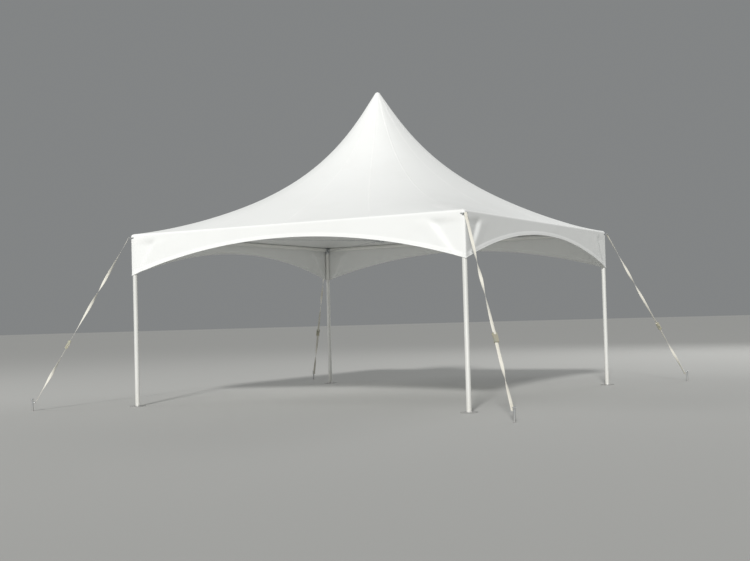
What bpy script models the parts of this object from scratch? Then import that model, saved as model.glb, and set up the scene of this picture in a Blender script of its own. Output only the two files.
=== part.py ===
"""Square high-peak frame marquee, modelled for Blender 4.5.

Metres, +Z up, the ground at z = 0 and the origin at the middle of the floor.
The front side faces -Y and the right side faces +X. Corner pieces are modelled
once in a corner's own frame, whose +X axis points outwards along the diagonal.
"""
import cmath
import math

import bmesh
import bpy
from mathutils import Matrix, Vector

# Overall sizes
side_length = 5.000          # outside faces of opposite valances
eave_height = 2.330          # top of the roof fabric along the eaves
peak_height = 4.360          # top of the crown
hem_mid_drop = 0.185         # eave to the bottom of a valance at mid-side
hem_corner_drop = 0.563      # eave to the bottom of a valance at a leg

# Fabric
fabric_thickness = 0.003
fabric_clearance = 0.0008    # fabric to the tube that carries it
seam_gap = 0.0004            # between two neighbouring panels
roll_skirt = 0.006           # straight drop of the roof fabric below the beam's axis
roof_tautness = 2.22         # how strongly the roof is drawn in below the crown

# Frame tubes
tube_radius = 0.030
tube_wall = 0.003
fit_clearance = 0.0003       # between pieces that slide or seat on each other
spigot_length = 0.150
hub_arm = 0.075              # corner axis to the end of each hub arm
mast_radius = 0.030

# Feet
base_plate_side = 0.160
base_plate_thickness = 0.008
base_plate_corner = 0.012
base_spigot_length = 0.110
peg_hole_radius = 0.009
peg_hole_inset = 0.026

# Corner strap plate and cable lug
plate_thickness = 0.008
strap_slot_width = 0.012
strap_slot_margin = 0.005
plate_rim = 0.012
plate_drop = 0.019           # beam axis to the plate's middle
slot_offset = 0.010          # fabric corner to the slot
notch_clearance = 0.005
lug_thickness = 0.008
lug_height = 0.036
lug_hole_radius = 0.0045
lug_reach = 0.105            # corner axis to the lug's hole
lug_drop = 0.028             # beam axis to the lug's hole

# Guy straps
webbing_width = 0.035
webbing_thickness = 0.0025
lower_webbing_thickness = 0.005
stake_distance = 1.362       # leg axis to stake axis, along the diagonal
ratchet_share = 0.655        # how far down the strap the ratchet sits
ratchet_length = 0.130
ratchet_height = 0.030
ratchet_end_height = 0.024
ratchet_plate = 0.003
ratchet_pin_radius = 0.007
ratchet_pin_inset = 0.018
ratchet_side_clearance = 0.002
ratchet_ear_length = 0.052
handle_length = 0.104
handle_thickness = 0.004
handle_lift = 0.006
pin_head = 0.001             # how far a pin stands proud of its plates

# Stakes
stake_radius = 0.0125
stake_height = 0.160
stake_head_radius = 0.022
stake_head_thickness = 0.010
stake_loop_radius = 0.004
stake_loop_reach = 0.026
stake_loop_height = 0.112
stake_loop_margin = 0.004

# Mast foot and cross cables
foot_bottom = 2.185
foot_plate_thickness = 0.012
foot_radius = 0.042
foot_spigot_length = 0.090
foot_lug_reach = 0.078
cable_radius = 0.004
fork_barrel_radius = 0.008
fork_barrel_length = 0.060
fork_plate = 0.003
fork_height = 0.020
fork_tail = 0.022            # pin to the barrel's start
turnbuckle_radius = 0.011
turnbuckle_length = 0.180
turnbuckle_offset = 0.160    # foot pin to the near end of the turnbuckle

# Resolution
tube_segments = 16
small_segments = 8
gore_columns = 10
gore_rows = 10
gore_row_grading = 1.6       # above 1 the rows crowd towards the eave
gore_overlap = 0.06          # radians past each hip, cut away by the mitre
roll_rows = 6
arch_segments = 24
dome_steps = 4
series_terms = 60
crease_angle = math.pi / 6   # edges sharper than this are shaded as creases

# Sizes that follow from the ones above
half_side = side_length / 2
roll_radius = tube_radius + fabric_clearance + fabric_thickness
axis_offset = half_side - roll_radius
beam_height = eave_height - roll_radius
spigot_radius = tube_radius - tube_wall - fit_clearance
mast_spigot_radius = mast_radius - tube_wall - fit_clearance
beam_half_length = axis_offset - hub_arm - fit_clearance
leg_top = beam_height - hub_arm - fit_clearance
leg_bottom = base_plate_thickness + fit_clearance
mast_axis = -math.sqrt(2) * axis_offset
crown_ring_radius = mast_radius + fabric_clearance + fabric_thickness

plate_height = beam_height - plate_drop
fabric_corner = math.sqrt(2) * roll_radius
slot_start = fabric_corner + slot_offset
slot_end = slot_start + strap_slot_width
slot_length = webbing_width + 2 * strap_slot_margin
plate_width = slot_length + 2 * plate_rim
plate_end = slot_end + plate_rim
strap_bar = Vector((slot_end + plate_rim / 2, 0, plate_height))
strap_bar_radius = math.hypot(plate_rim, plate_thickness) / 2
notch_depth = plate_drop + plate_thickness / 2 + notch_clearance
notch_width = math.sqrt(2) * plate_width / 2 + notch_clearance

stake_bar = Vector((stake_distance - stake_radius - stake_loop_reach, 0, stake_loop_height))
strap_run = stake_bar - strap_bar
strap_direction = strap_run.normalized()
ratchet_middle = strap_bar + ratchet_share * strap_run
ratchet_pin_offset = ratchet_length / 2 - ratchet_pin_inset
upper_pin = ratchet_middle - ratchet_pin_offset * strap_direction
lower_pin = ratchet_middle + ratchet_pin_offset * strap_direction
ratchet_inner_width = webbing_width + 2 * ratchet_side_clearance
ratchet_width = ratchet_inner_width + 2 * ratchet_plate

lug_hole = Vector((-lug_reach, 0, beam_height - lug_drop))
foot_lug_height = foot_bottom + foot_plate_thickness + lug_height / 2
foot_lug_hole = Vector((mast_axis + foot_lug_reach, 0, foot_lug_height))
mast_bottom = foot_bottom + foot_plate_thickness + fit_clearance

corner_angles = {
    "front_right": -math.pi / 4,
    "back_right": math.pi / 4,
    "back_left": 3 * math.pi / 4,
    "front_left": -3 * math.pi / 4,
}
side_turns = {"front": 0, "right": 1, "back": 2, "left": 3}

finishes = {
    "canopy_fabric": ((0.86, 0.87, 0.86), 0.45, 0.0),
    "tube_aluminium": ((0.80, 0.81, 0.80), 0.35, 0.9),
    "galvanised_steel": ((0.55, 0.56, 0.57), 0.45, 0.9),
    "ratchet_steel": ((0.62, 0.60, 0.52), 0.35, 0.9),
    "cable_steel": ((0.60, 0.61, 0.62), 0.35, 0.9),
    "webbing": ((0.78, 0.76, 0.66), 0.80, 0.0),
}


def clear_scene():
    for item in list(bpy.data.objects):
        bpy.data.objects.remove(item, do_unlink=True)


def new_collection(name):
    collection = bpy.data.collections.new(name)
    bpy.context.scene.collection.children.link(collection)
    return collection


def make_materials():
    materials = {}
    for name, (colour, roughness, metallic) in finishes.items():
        material = bpy.data.materials.new(name)
        material.use_nodes = True
        shader = material.node_tree.nodes["Principled BSDF"]
        shader.inputs["Base Color"].default_value = (*colour, 1)
        shader.inputs["Roughness"].default_value = roughness
        shader.inputs["Metallic"].default_value = metallic
        materials[name] = material
    return materials


def mesh_from_bmesh(name, bm):
    bmesh.ops.recalc_face_normals(bm, faces=bm.faces)
    mesh = bpy.data.meshes.new(name)
    bm.to_mesh(mesh)
    bm.free()
    return mesh


def evaluated_mesh(item):
    """A plain mesh of an object with its modifiers, with the object removed."""
    graph = bpy.context.evaluated_depsgraph_get()
    mesh = bpy.data.meshes.new_from_object(item.evaluated_get(graph))
    bm = bmesh.new()
    bm.from_mesh(mesh)
    bmesh.ops.remove_doubles(bm, verts=bm.verts, dist=1e-6)
    bm.to_mesh(mesh)
    bm.free()
    bpy.data.objects.remove(item, do_unlink=True)
    return mesh


def temporary_object(data):
    item = bpy.data.objects.new("temporary", data)
    bpy.context.scene.collection.objects.link(item)
    return item


def outline_mesh(loops, thickness):
    """A flat plate in the XY plane, from closed outlines, the inner ones being holes."""
    curve = bpy.data.curves.new("outline", "CURVE")
    curve.dimensions = "2D"
    curve.fill_mode = "BOTH"
    curve.extrude = thickness / 2
    for loop in loops:
        spline = curve.splines.new("POLY")
        spline.points.add(len(loop) - 1)
        for point, (x, y) in zip(spline.points, loop):
            point.co = (x, y, 0, 1)
        spline.use_cyclic_u = True
    return evaluated_mesh(temporary_object(curve))


def turned_mesh(profile, segments):
    """A solid of revolution about Z, from (radius, height) points that run down its outer side."""
    mesh = bpy.data.meshes.new("profile")
    edges = [(i, i + 1) for i in range(len(profile) - 1)]
    mesh.from_pydata([(r, 0, z) for r, z in profile], edges, [])
    item = temporary_object(mesh)
    screw = item.modifiers.new("turn", "SCREW")
    screw.steps = segments
    screw.render_steps = segments
    screw.use_merge_vertices = True
    screw.merge_threshold = 1e-5
    return evaluated_mesh(item)


def rod(start, end, radius, segments=tube_segments):
    """A closed cylinder between two points."""
    axis = end - start
    turn = axis.to_track_quat("Z", "Y").to_matrix().to_4x4()
    bm = bmesh.new()
    bmesh.ops.create_cone(bm, cap_ends=True, segments=segments, radius1=radius, radius2=radius,
                          depth=axis.length, matrix=Matrix.Translation((start + end) / 2) @ turn)
    return mesh_from_bmesh("rod", bm)


def block(size, placing):
    """A box of the given size, centred on a placing matrix."""
    bm = bmesh.new()
    bmesh.ops.create_cube(bm, size=1, matrix=placing @ Matrix.Diagonal((*size, 1)))
    return mesh_from_bmesh("block", bm)


def combined(first, others, operation="UNION"):
    """One body from the first mesh and the others, joined to it or cut from it."""
    item = temporary_object(first)
    tools = []
    for mesh in others:
        tool = temporary_object(mesh)
        tool.hide_render = True
        tool.display_type = "WIRE"
        tools.append(tool)
        boolean = item.modifiers.new("combine", "BOOLEAN")
        boolean.operation = operation
        boolean.solver = "EXACT"
        boolean.object = tool
    mesh = evaluated_mesh(item)
    for tool in tools:
        bpy.data.objects.remove(tool, do_unlink=True)
    return mesh


def mirrored(mesh):
    """A piece that is alike on both sides of the diagonal plane, from its +Y half."""
    bm = bmesh.new()
    bm.from_mesh(mesh)
    bmesh.ops.bisect_plane(bm, geom=bm.verts[:] + bm.edges[:] + bm.faces[:], plane_co=(0, 0, 0),
                           plane_no=(0, -1, 0), dist=1e-6, clear_outer=True)
    half = bpy.data.meshes.new("half")
    bm.to_mesh(half)
    bm.free()
    item = temporary_object(half)
    mirror = item.modifiers.new("other half", "MIRROR")
    mirror.use_axis = (False, True, False)
    mirror.merge_threshold = 1e-5
    return evaluated_mesh(item)


def circle_points(middle, radius, segments, start=0.0, sweep=2 * math.pi):
    """Points round an arc. A full circle leaves out its repeated last point."""
    whole = abs(sweep - 2 * math.pi) < 1e-9
    steps = segments if whole else segments - 1
    angles = [start + sweep * i / steps for i in range(segments)]
    return [(middle[0] + radius * math.cos(a), middle[1] + radius * math.sin(a)) for a in angles]


def diagonal_plane(direction, place):
    """Lays an XY outline in the corner's diagonal plane, its X along a direction."""
    across = Vector((0, 1, 0))
    normal = across.cross(direction)
    turn = Matrix((direction, normal, across)).transposed().to_4x4()
    return Matrix.Translation(place) @ turn


def place_object(name, mesh, material, collection, location=(0, 0, 0), angle=0.0):
    item = bpy.data.objects.new(name, mesh)
    if not mesh.materials:
        mesh.materials.append(material)
        mesh.polygons.foreach_set("use_smooth", [True] * len(mesh.polygons))
        mesh.set_sharp_from_angle(angle=crease_angle)
    item.location = location
    item.rotation_euler = (0, 0, angle)
    collection.objects.link(item)
    return item


def corner_location(angle):
    reach = math.sqrt(2) * axis_offset
    return (reach * math.cos(angle), reach * math.sin(angle), 0)


# The roof's surface

def membrane_point(phi, u):
    """Plan position on the roof, as x + iy. Hips are at phi = 0, 90, 180 and 270 degrees,
    u is the share of the rise. Each harmonic of the square plan fades on the way up."""
    scale = 8 * math.sqrt(2) * axis_offset / math.pi ** 2
    total = 0
    for n in range(series_terms):
        order = 2 * n + 1
        k = order if n % 2 == 0 else -order
        decay = order * roof_tautness
        fade = math.exp(-decay * u) * (1 - math.exp(-2 * decay * (1 - u))) / (1 - math.exp(-2 * decay))
        total += scale / order ** 2 * fade * cmath.exp(1j * k * phi)
    ring = crown_ring_radius * math.sinh(roof_tautness * u) / math.sinh(roof_tautness)
    total += ring * cmath.exp(1j * phi)
    return total * cmath.exp(-0.75j * math.pi)


def crown_slope():
    """Angle between the fabric and the mast at the crown ring."""
    step = 0.002
    radius_change = abs(membrane_point(0, 1 - step)) - crown_ring_radius
    return math.atan(radius_change / (step * (peak_height - eave_height)))


ring_angle = crown_slope()
crown_radius = crown_ring_radius / math.cos(ring_angle)
crown_rise = crown_radius * (1 - math.sin(ring_angle))
membrane_rise = peak_height - eave_height - crown_rise
ring_height = eave_height + membrane_rise
crown_centre_height = ring_height - crown_radius * math.sin(ring_angle)
mast_top = ring_height - crown_ring_radius / 2


def eave_slope(phi):
    """Angle at which the roof leaves the front eave."""
    step = 0.01
    inward = axis_offset + membrane_point(phi, step).imag
    return math.atan(step * membrane_rise / inward)


def mitred(mesh):
    """Cuts a front panel along the two hip planes, half a seam gap inside them."""
    bm = bmesh.new()
    bm.from_mesh(mesh)
    bmesh.ops.triangulate(bm, faces=bm.faces)
    for hand in (1, -1):
        normal = Vector((hand, 1, 0)).normalized()
        everything = bm.verts[:] + bm.edges[:] + bm.faces[:]
        bmesh.ops.bisect_plane(bm, geom=everything, plane_co=-normal * seam_gap / 2, plane_no=normal,
                               dist=1e-6, clear_outer=True)
        bmesh.ops.holes_fill(bm, edges=[e for e in bm.edges if e.is_boundary])
    bmesh.ops.triangulate(bm, faces=[f for f in bm.faces if len(f.verts) > 3])
    return mesh_from_bmesh("panel", bm)


def roof_panel_mesh():
    """The front quarter of the roof: a skirt, a roll over the eave beam, then the drawn-in slope."""
    inner_angles = [math.pi / 2 * j / gore_columns for j in range(gore_columns + 1)]
    angles = [-gore_overlap] + inner_angles + [math.pi / 2 + gore_overlap]
    shares = [(i / gore_rows) ** gore_row_grading for i in range(1, gore_rows + 1)]
    rows = roll_rows + 2 + gore_rows
    bm = bmesh.new()
    bmesh.ops.create_grid(bm, x_segments=len(angles) - 1, y_segments=rows - 1, size=1)
    bm.verts.ensure_lookup_table()
    for index, vert in enumerate(bm.verts):
        row, column = divmod(index, len(angles))
        phi = angles[column]
        if row <= roll_rows + 1:
            slope = eave_slope(min(max(phi, 0), math.pi / 2))
            lean = math.pi / 2 + (slope - math.pi / 2) * max(row - 1, 0) / roll_rows
            outward = axis_offset + roll_radius * math.sin(lean)
            along = outward * (4 * phi / math.pi - 1)
            height = beam_height + roll_radius * math.cos(lean)
            if row == 0:
                height -= roll_skirt
            vert.co = (along, -outward, height)
        else:
            share = shares[row - roll_rows - 2]
            plan = membrane_point(phi, share)
            vert.co = (plan.real, plan.imag, eave_height + membrane_rise * share)
    mesh = bpy.data.meshes.new("gore")
    bm.to_mesh(mesh)
    bm.free()
    item = temporary_object(mesh)
    solidify = item.modifiers.new("thickness", "SOLIDIFY")
    solidify.thickness = fabric_thickness
    solidify.offset = -1
    solidify.use_even_offset = True
    return mitred(evaluated_mesh(item))


def valance_mesh():
    """The front valance: a flat strip with an arched hem and a notch at each strap plate."""
    top = beam_height - roll_skirt - seam_gap
    rise = hem_corner_drop - hem_mid_drop
    arch_radius = (half_side ** 2 + rise ** 2) / (2 * rise)
    sweep = 2 * math.asin(half_side / arch_radius)
    arch_centre = (0, eave_height - hem_mid_drop - arch_radius)
    hem = circle_points(arch_centre, arch_radius, arch_segments + 1, (math.pi - sweep) / 2, sweep)
    notch_inner = half_side - notch_width
    notch_bottom = beam_height - notch_depth
    top_edge = [(-half_side, notch_bottom), (-notch_inner, notch_bottom), (-notch_inner, top),
                (notch_inner, top), (notch_inner, notch_bottom), (half_side, notch_bottom)]
    mesh = outline_mesh([hem + top_edge], fabric_thickness)
    stand_up = Matrix.Rotation(math.pi / 2, 4, "X")
    mesh.transform(Matrix.Translation((0, fabric_thickness / 2 - half_side, 0)) @ stand_up)
    return mitred(mesh)


def crown_mesh():
    """The fabric dome that closes the roof over the mast's cap."""
    first = ring_angle + fit_clearance / crown_radius
    lean = [math.pi / 2 - (math.pi / 2 - first) * i / dome_steps for i in range(dome_steps + 1)]
    inner_radius = crown_radius - fabric_thickness
    outer = [(crown_radius * math.cos(a), crown_centre_height + crown_radius * math.sin(a)) for a in lean]
    inner = [(inner_radius * math.cos(a), crown_centre_height + inner_radius * math.sin(a)) for a in lean]
    outer[0] = (0, outer[0][1])
    inner[0] = (0, inner[0][1])
    return turned_mesh(outer + inner[::-1], 4 * gore_columns)


# Frame pieces

def tube_mesh(length, radius):
    """A hollow tube that stands on the origin."""
    inner = radius - tube_wall
    profile = [(inner, length), (radius, length), (radius, 0), (inner, 0), (inner, length)]
    return turned_mesh(profile, tube_segments)


def beam_mesh():
    """A hollow tube along X, centred on the origin."""
    mesh = tube_mesh(2 * beam_half_length, tube_radius)
    lay_down = Matrix.Rotation(math.pi / 2, 4, "Y")
    mesh.transform(Matrix.Translation((-beam_half_length, 0, 0)) @ lay_down)
    return mesh


def elbow_mesh():
    """Two hub arms that meet in a mitre on the diagonal: one arm, mirrored across it."""
    arm = Vector((-1, 1, 0)).normalized()
    elbow = mirrored(rod(-2 * tube_radius * arm, hub_arm * arm, tube_radius))
    elbow.transform(Matrix.Translation((0, 0, beam_height)))
    return elbow


def strap_plate_mesh():
    """The flat plate that carries the guy strap outside the fabric's corner."""
    half = plate_width / 2
    slot_half = slot_length / 2
    rim = [(0, -half), (plate_end, -half), (plate_end, half), (0, half)]
    slot = [(slot_start, -slot_half), (slot_end, -slot_half), (slot_end, slot_half), (slot_start, slot_half)]
    mesh = outline_mesh([rim, slot], plate_thickness)
    mesh.transform(Matrix.Translation((0, 0, plate_height)))
    return mesh


def lug_mesh(root, hole):
    """An upright lug plate in the diagonal plane, from inside a hub to round a pin hole."""
    half = lug_height / 2
    reach = math.copysign(1, hole.x - root.x)
    first = 0 if reach > 0 else math.pi
    nose = circle_points((hole.x, hole.z), half, small_segments + 1, first - math.pi / 2, math.pi)
    heel = [(root.x, hole.z + half * reach), (root.x, hole.z - half * reach)]
    pin_hole = circle_points((hole.x, hole.z), lug_hole_radius, small_segments)
    mesh = outline_mesh([nose + heel, pin_hole], lug_thickness)
    mesh.transform(Matrix.Rotation(math.pi / 2, 4, "X"))
    return mesh


def corner_fitting_mesh():
    """Three-way hub with spigots, the strap plate outside and the cable lug inside."""
    centre = Vector((0, 0, beam_height))
    down = Vector((0, 0, -1))
    extras = [strap_plate_mesh(), lug_mesh(centre, lug_hole)]
    for direction in (Vector((-1, 1, 0)).normalized(), Vector((-1, -1, 0)).normalized(), down):
        extras.append(rod(centre + hub_arm / 2 * direction,
                          centre + (hub_arm + spigot_length) * direction, spigot_radius))
    extras.append(rod(centre, centre + hub_arm * down, tube_radius))
    return combined(elbow_mesh(), extras)


def base_plate_mesh():
    """Foot plate with two peg holes and the spigot that stands in the leg."""
    half = base_plate_side / 2
    inset = half - base_plate_corner
    outline = []
    for i, (x, y) in enumerate([(inset, inset), (-inset, inset), (-inset, -inset), (inset, -inset)]):
        outline += circle_points((x, y), base_plate_corner, 5, i * math.pi / 2, math.pi / 2)
    hole_place = half - peg_hole_inset
    holes = [circle_points((hand * hole_place, -hand * hole_place), peg_hole_radius, small_segments)
             for hand in (1, -1)]
    plate = outline_mesh([outline] + holes, base_plate_thickness)
    plate.transform(Matrix.Translation((0, 0, base_plate_thickness / 2)))
    foot = Vector((0, 0, base_plate_thickness / 2))
    spigot = rod(foot, Vector((0, 0, base_plate_thickness + base_spigot_length)), spigot_radius)
    return combined(plate, [spigot])


def mast_cap_mesh():
    """Rounded plug in the top of the mast, under the crown."""
    dome_radius = crown_radius - fabric_thickness - fit_clearance
    shoulder = math.acos(mast_radius / dome_radius)
    lean = [math.pi / 2 - (math.pi / 2 - shoulder) * i / dome_steps for i in range(dome_steps + 1)]
    dome = [(dome_radius * math.cos(a), crown_centre_height + dome_radius * math.sin(a)) for a in lean]
    dome[0] = (0, dome[0][1])
    seat = mast_top + fit_clearance
    plug = [(mast_radius, seat), (mast_spigot_radius, seat), (mast_spigot_radius, seat - foot_spigot_length),
            (0, seat - foot_spigot_length)]
    return turned_mesh(dome + plug, tube_segments)


def mast_foot_mesh():
    """Foot plate under the mast, its spigot and four lugs for the cross cables."""
    top = foot_bottom + foot_plate_thickness
    chamfer = foot_plate_thickness / 3
    profile = [(0, top), (foot_radius, top), (foot_radius, foot_bottom + chamfer),
               (foot_radius - chamfer, foot_bottom), (0, foot_bottom)]
    disc = turned_mesh(profile, tube_segments)
    collar = rod(Vector((0, 0, foot_bottom + chamfer)), Vector((0, 0, top + foot_spigot_length)),
                 mast_spigot_radius)
    reach = Vector((foot_lug_reach, 0, foot_lug_height))
    lugs = []
    for angle in corner_angles.values():
        root = Vector((mast_radius + fit_clearance, 0, foot_lug_height))
        lug = lug_mesh(root, reach)
        lug.transform(Matrix.Rotation(angle, 4, "Z"))
        lugs.append(lug)
    sill = rod(Vector((0, 0, top - chamfer)), Vector((0, 0, top + lug_height / 2)), foot_radius)
    bore = rod(Vector((0, 0, top)), Vector((0, 0, top + lug_height)), mast_radius + fit_clearance)
    cup = combined(combined(disc, [sill]), [bore], "DIFFERENCE")
    return combined(cup, [collar] + lugs)


# Cables and straps

def fork_meshes(pin, direction):
    """The fork at one cable end: a pin through a lug, the U-shaped fork and its barrel."""
    inner = lug_thickness / 2 + fit_clearance
    outer = inner + fork_plate
    nose = -fork_height / 2
    heel = fork_tail + fork_plate
    outline = [(nose, -outer), (heel, -outer), (heel, outer), (nose, outer),
               (nose, inner), (fork_tail, inner), (fork_tail, -inner), (nose, -inner)]
    across = Vector((0, 1, 0))
    turn = Matrix((direction, across, direction.cross(across))).transposed().to_4x4()
    fork = outline_mesh([outline], fork_height)
    fork.transform(Matrix.Translation(pin) @ turn)
    pin_end = Vector((0, outer + pin_head, 0))
    pin_radius = lug_hole_radius - fit_clearance
    bolt = rod(pin - pin_end, pin + pin_end, pin_radius, small_segments)
    barrel_start = pin + (fork_tail + fork_plate / 2) * direction
    barrel_end = barrel_start + fork_barrel_length * direction
    barrel = rod(barrel_start, barrel_end, fork_barrel_radius, small_segments)
    return [fork, bolt, barrel]


def cross_cable_mesh():
    """One cable from a corner's lug to the mast foot, with its forks and turnbuckle."""
    direction = (foot_lug_hole - lug_hole).normalized()
    rope_inset = fork_tail + fork_plate + fork_barrel_length / 2
    rope_start = lug_hole + rope_inset * direction
    rope_end = foot_lug_hole - rope_inset * direction
    rope = rod(rope_start, rope_end, cable_radius, small_segments)
    near = foot_lug_hole - turnbuckle_offset * direction
    pieces = fork_meshes(lug_hole, direction) + fork_meshes(foot_lug_hole, -direction)
    pieces.append(rod(near, near - turnbuckle_length * direction, turnbuckle_radius, small_segments))
    return combined(rope, pieces)


def strap_mesh(start, start_radius, end, end_radius, thickness):
    """Webbing in the diagonal plane with a sewn eye round a bar at each end."""
    run = end - start
    half = thickness / 2
    outline = []
    for middle, radius, facing in ((0, start_radius, 0), (run.length, end_radius, math.pi)):
        rim = radius + fit_clearance + webbing_thickness
        mouth = math.asin(half / rim)
        outline += circle_points((middle, 0), rim, small_segments + 1, facing + mouth,
                                 2 * math.pi - 2 * mouth)
    eyes = [circle_points((middle, 0), (radius + fit_clearance) / math.cos(math.pi / small_segments),
                          small_segments)
            for middle, radius in ((0, start_radius), (run.length, end_radius))]
    mesh = outline_mesh([outline] + eyes, webbing_width)
    mesh.transform(diagonal_plane(run.normalized(), start))
    return mesh


def ratchet_mesh():
    """Two cheeks with ears, the mandrel, the fixed pin and the closed handle."""
    placing = diagonal_plane(strap_direction, ratchet_middle)
    half_length = ratchet_length / 2
    half_height = ratchet_height / 2
    ear_half = ratchet_ear_length / 2
    ear_top = -half_height - handle_lift
    end_half = ratchet_end_height / 2
    outline = [(-half_length, -end_half), (-ear_half, -half_height), (-ear_half, ear_top),
               (ear_half, ear_top), (ear_half, -half_height), (half_length, -end_half),
               (half_length, end_half), (ear_half, half_height), (-ear_half, half_height),
               (-half_length, end_half)]
    cheek = outline_mesh([outline], ratchet_plate)
    cheek.transform(placing @ Matrix.Translation((0, 0, (ratchet_inner_width + ratchet_plate) / 2)))
    across = Vector((0, ratchet_width / 2 + pin_head, 0))
    parts = [rod(pin - across / 2, pin + across, ratchet_pin_radius, small_segments)
             for pin in (upper_pin, lower_pin)]
    size = (handle_length, handle_thickness, ratchet_width + 2 * pin_head)
    parts.append(block(size, placing @ Matrix.Translation((0, ear_top, 0))))
    return mirrored(combined(cheek, parts))


def ground_stake_mesh():
    """The part of a stake above ground, with its head and the loop for the strap."""
    head_bottom = stake_height - stake_head_thickness
    chamfer = stake_head_thickness / 4
    profile = [(0, stake_height), (stake_head_radius - chamfer, stake_height),
               (stake_head_radius, stake_height - chamfer), (stake_head_radius, head_bottom),
               (stake_radius, head_bottom), (stake_radius, 0), (0, 0)]
    stake = turned_mesh(profile, tube_segments)
    stake.transform(Matrix.Translation((stake_distance, 0, 0)))
    half = webbing_width / 2 + stake_loop_margin + stake_loop_radius
    root = stake_distance
    front = stake_bar.x
    curve = bpy.data.curves.new("loop", "CURVE")
    curve.dimensions = "3D"
    curve.bevel_depth = stake_loop_radius
    curve.bevel_resolution = 2
    curve.use_fill_caps = True
    spline = curve.splines.new("POLY")
    route = [(root, -stake_radius / 2), (front + 2 * stake_loop_radius, -half), (front, -half), (front, half),
             (front + 2 * stake_loop_radius, half), (root, stake_radius / 2)]
    spline.points.add(len(route) - 1)
    for point, (x, y) in zip(spline.points, route):
        point.co = (x, y, stake_loop_height, 1)
    loop = evaluated_mesh(temporary_object(curve))
    return combined(stake, [loop])


def build():
    clear_scene()
    tent = new_collection("marquee_tent")
    materials = make_materials()

    def add(name, mesh, slot, location=(0, 0, 0), angle=0.0):
        place_object(name, mesh, materials[slot], tent, location, angle)

    gore = roof_panel_mesh()
    valance = valance_mesh()
    beam = beam_mesh()
    for name, turns in side_turns.items():
        angle = turns * math.pi / 2
        add(f"roof_panel_{name}", gore, "canopy_fabric", angle=angle)
        add(f"valance_{name}", valance, "canopy_fabric", angle=angle)
        middle = Matrix.Rotation(angle, 3, "Z") @ Vector((0, -axis_offset, beam_height))
        add(f"eave_beam_{name}", beam, "tube_aluminium", middle, angle)

    leg = tube_mesh(leg_top - leg_bottom, tube_radius)
    base_plate = base_plate_mesh()
    corner_fitting = corner_fitting_mesh()
    cross_cable = cross_cable_mesh()
    ratchet = ratchet_mesh()
    upper_strap = strap_mesh(strap_bar, strap_bar_radius, upper_pin, ratchet_pin_radius, webbing_thickness)
    lower_strap = strap_mesh(lower_pin, ratchet_pin_radius, stake_bar, stake_loop_radius,
                             lower_webbing_thickness)
    ground_stake = ground_stake_mesh()
    for name, angle in corner_angles.items():
        x, y, ground = corner_location(angle)
        add(f"leg_{name}", leg, "tube_aluminium", (x, y, leg_bottom))
        plate_angle = angle + math.pi / 4
        add(f"base_plate_{name}", base_plate, "galvanised_steel", (x, y, ground), plate_angle)
        add(f"corner_fitting_{name}", corner_fitting, "galvanised_steel", (x, y, ground), angle)
        add(f"cross_cable_{name}", cross_cable, "cable_steel", (x, y, ground), angle)
        add(f"guy_strap_{name}", upper_strap, "webbing", (x, y, ground), angle)
        add(f"guy_ratchet_{name}", ratchet, "ratchet_steel", (x, y, ground), angle)
        add(f"stake_strap_{name}", lower_strap, "webbing", (x, y, ground), angle)
        add(f"ground_stake_{name}", ground_stake, "galvanised_steel", (x, y, ground), angle)

    add("mast", tube_mesh(mast_top - mast_bottom, mast_radius), "tube_aluminium", (0, 0, mast_bottom))
    add("mast_foot", mast_foot_mesh(), "galvanised_steel")
    add("mast_cap", mast_cap_mesh(), "galvanised_steel")
    add("roof_crown", crown_mesh(), "canopy_fabric", angle=math.pi / 4)


build()
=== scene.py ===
import cmath
import math

import bmesh
import bpy
from mathutils import Matrix, Vector, noise


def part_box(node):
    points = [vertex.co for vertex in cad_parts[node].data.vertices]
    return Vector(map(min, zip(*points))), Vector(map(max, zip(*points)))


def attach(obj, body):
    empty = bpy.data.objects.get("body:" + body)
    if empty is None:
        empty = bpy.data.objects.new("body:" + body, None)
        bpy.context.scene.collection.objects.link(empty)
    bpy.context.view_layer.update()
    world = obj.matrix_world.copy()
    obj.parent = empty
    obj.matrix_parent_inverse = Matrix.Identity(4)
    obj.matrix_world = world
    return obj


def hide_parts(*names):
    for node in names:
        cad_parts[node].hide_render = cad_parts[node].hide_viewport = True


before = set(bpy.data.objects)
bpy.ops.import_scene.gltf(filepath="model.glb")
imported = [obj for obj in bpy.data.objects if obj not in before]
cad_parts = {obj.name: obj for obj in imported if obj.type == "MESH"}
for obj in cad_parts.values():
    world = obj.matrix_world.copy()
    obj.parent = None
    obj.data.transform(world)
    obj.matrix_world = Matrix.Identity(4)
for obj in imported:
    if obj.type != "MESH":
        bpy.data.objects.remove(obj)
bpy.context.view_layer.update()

turn = math.tau
quarter = math.pi / 2
tiny = 1e-6

# Places read from the frame, in metres. Corner pieces are modelled once, standing at a corner
# whose +X axis points outwards along the diagonal, and copied to the four corners.
legLow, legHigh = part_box("leg_front_right")
beamLow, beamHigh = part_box("eave_beam_front")
mastLow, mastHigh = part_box("mast")
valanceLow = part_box("valance_front")[0]

tubeRadius = (legHigh[0] - legLow[0]) / 2
axisOffset = (legLow[0] + legHigh[0]) / 2
beamHeight = (beamLow[2] + beamHigh[2]) / 2
halfSide = -valanceLow[1]
hemFoot = valanceLow[2]       # height of the valance's edge at the legs
rollRadius = halfSide - axisOffset
eaveHeight = beamHeight + rollRadius
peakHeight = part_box("roof_crown")[1][2]
mastReach = -math.sqrt(2) * axisOffset      # the mast's x, seen from a corner
sides = {"front": 0, "right": 1, "back": 2, "left": 3}
corners = {"front_right": -math.pi / 4, "back_right": math.pi / 4,
           "back_left": 3 * math.pi / 4, "front_left": -3 * math.pi / 4}


# Small helpers

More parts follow.
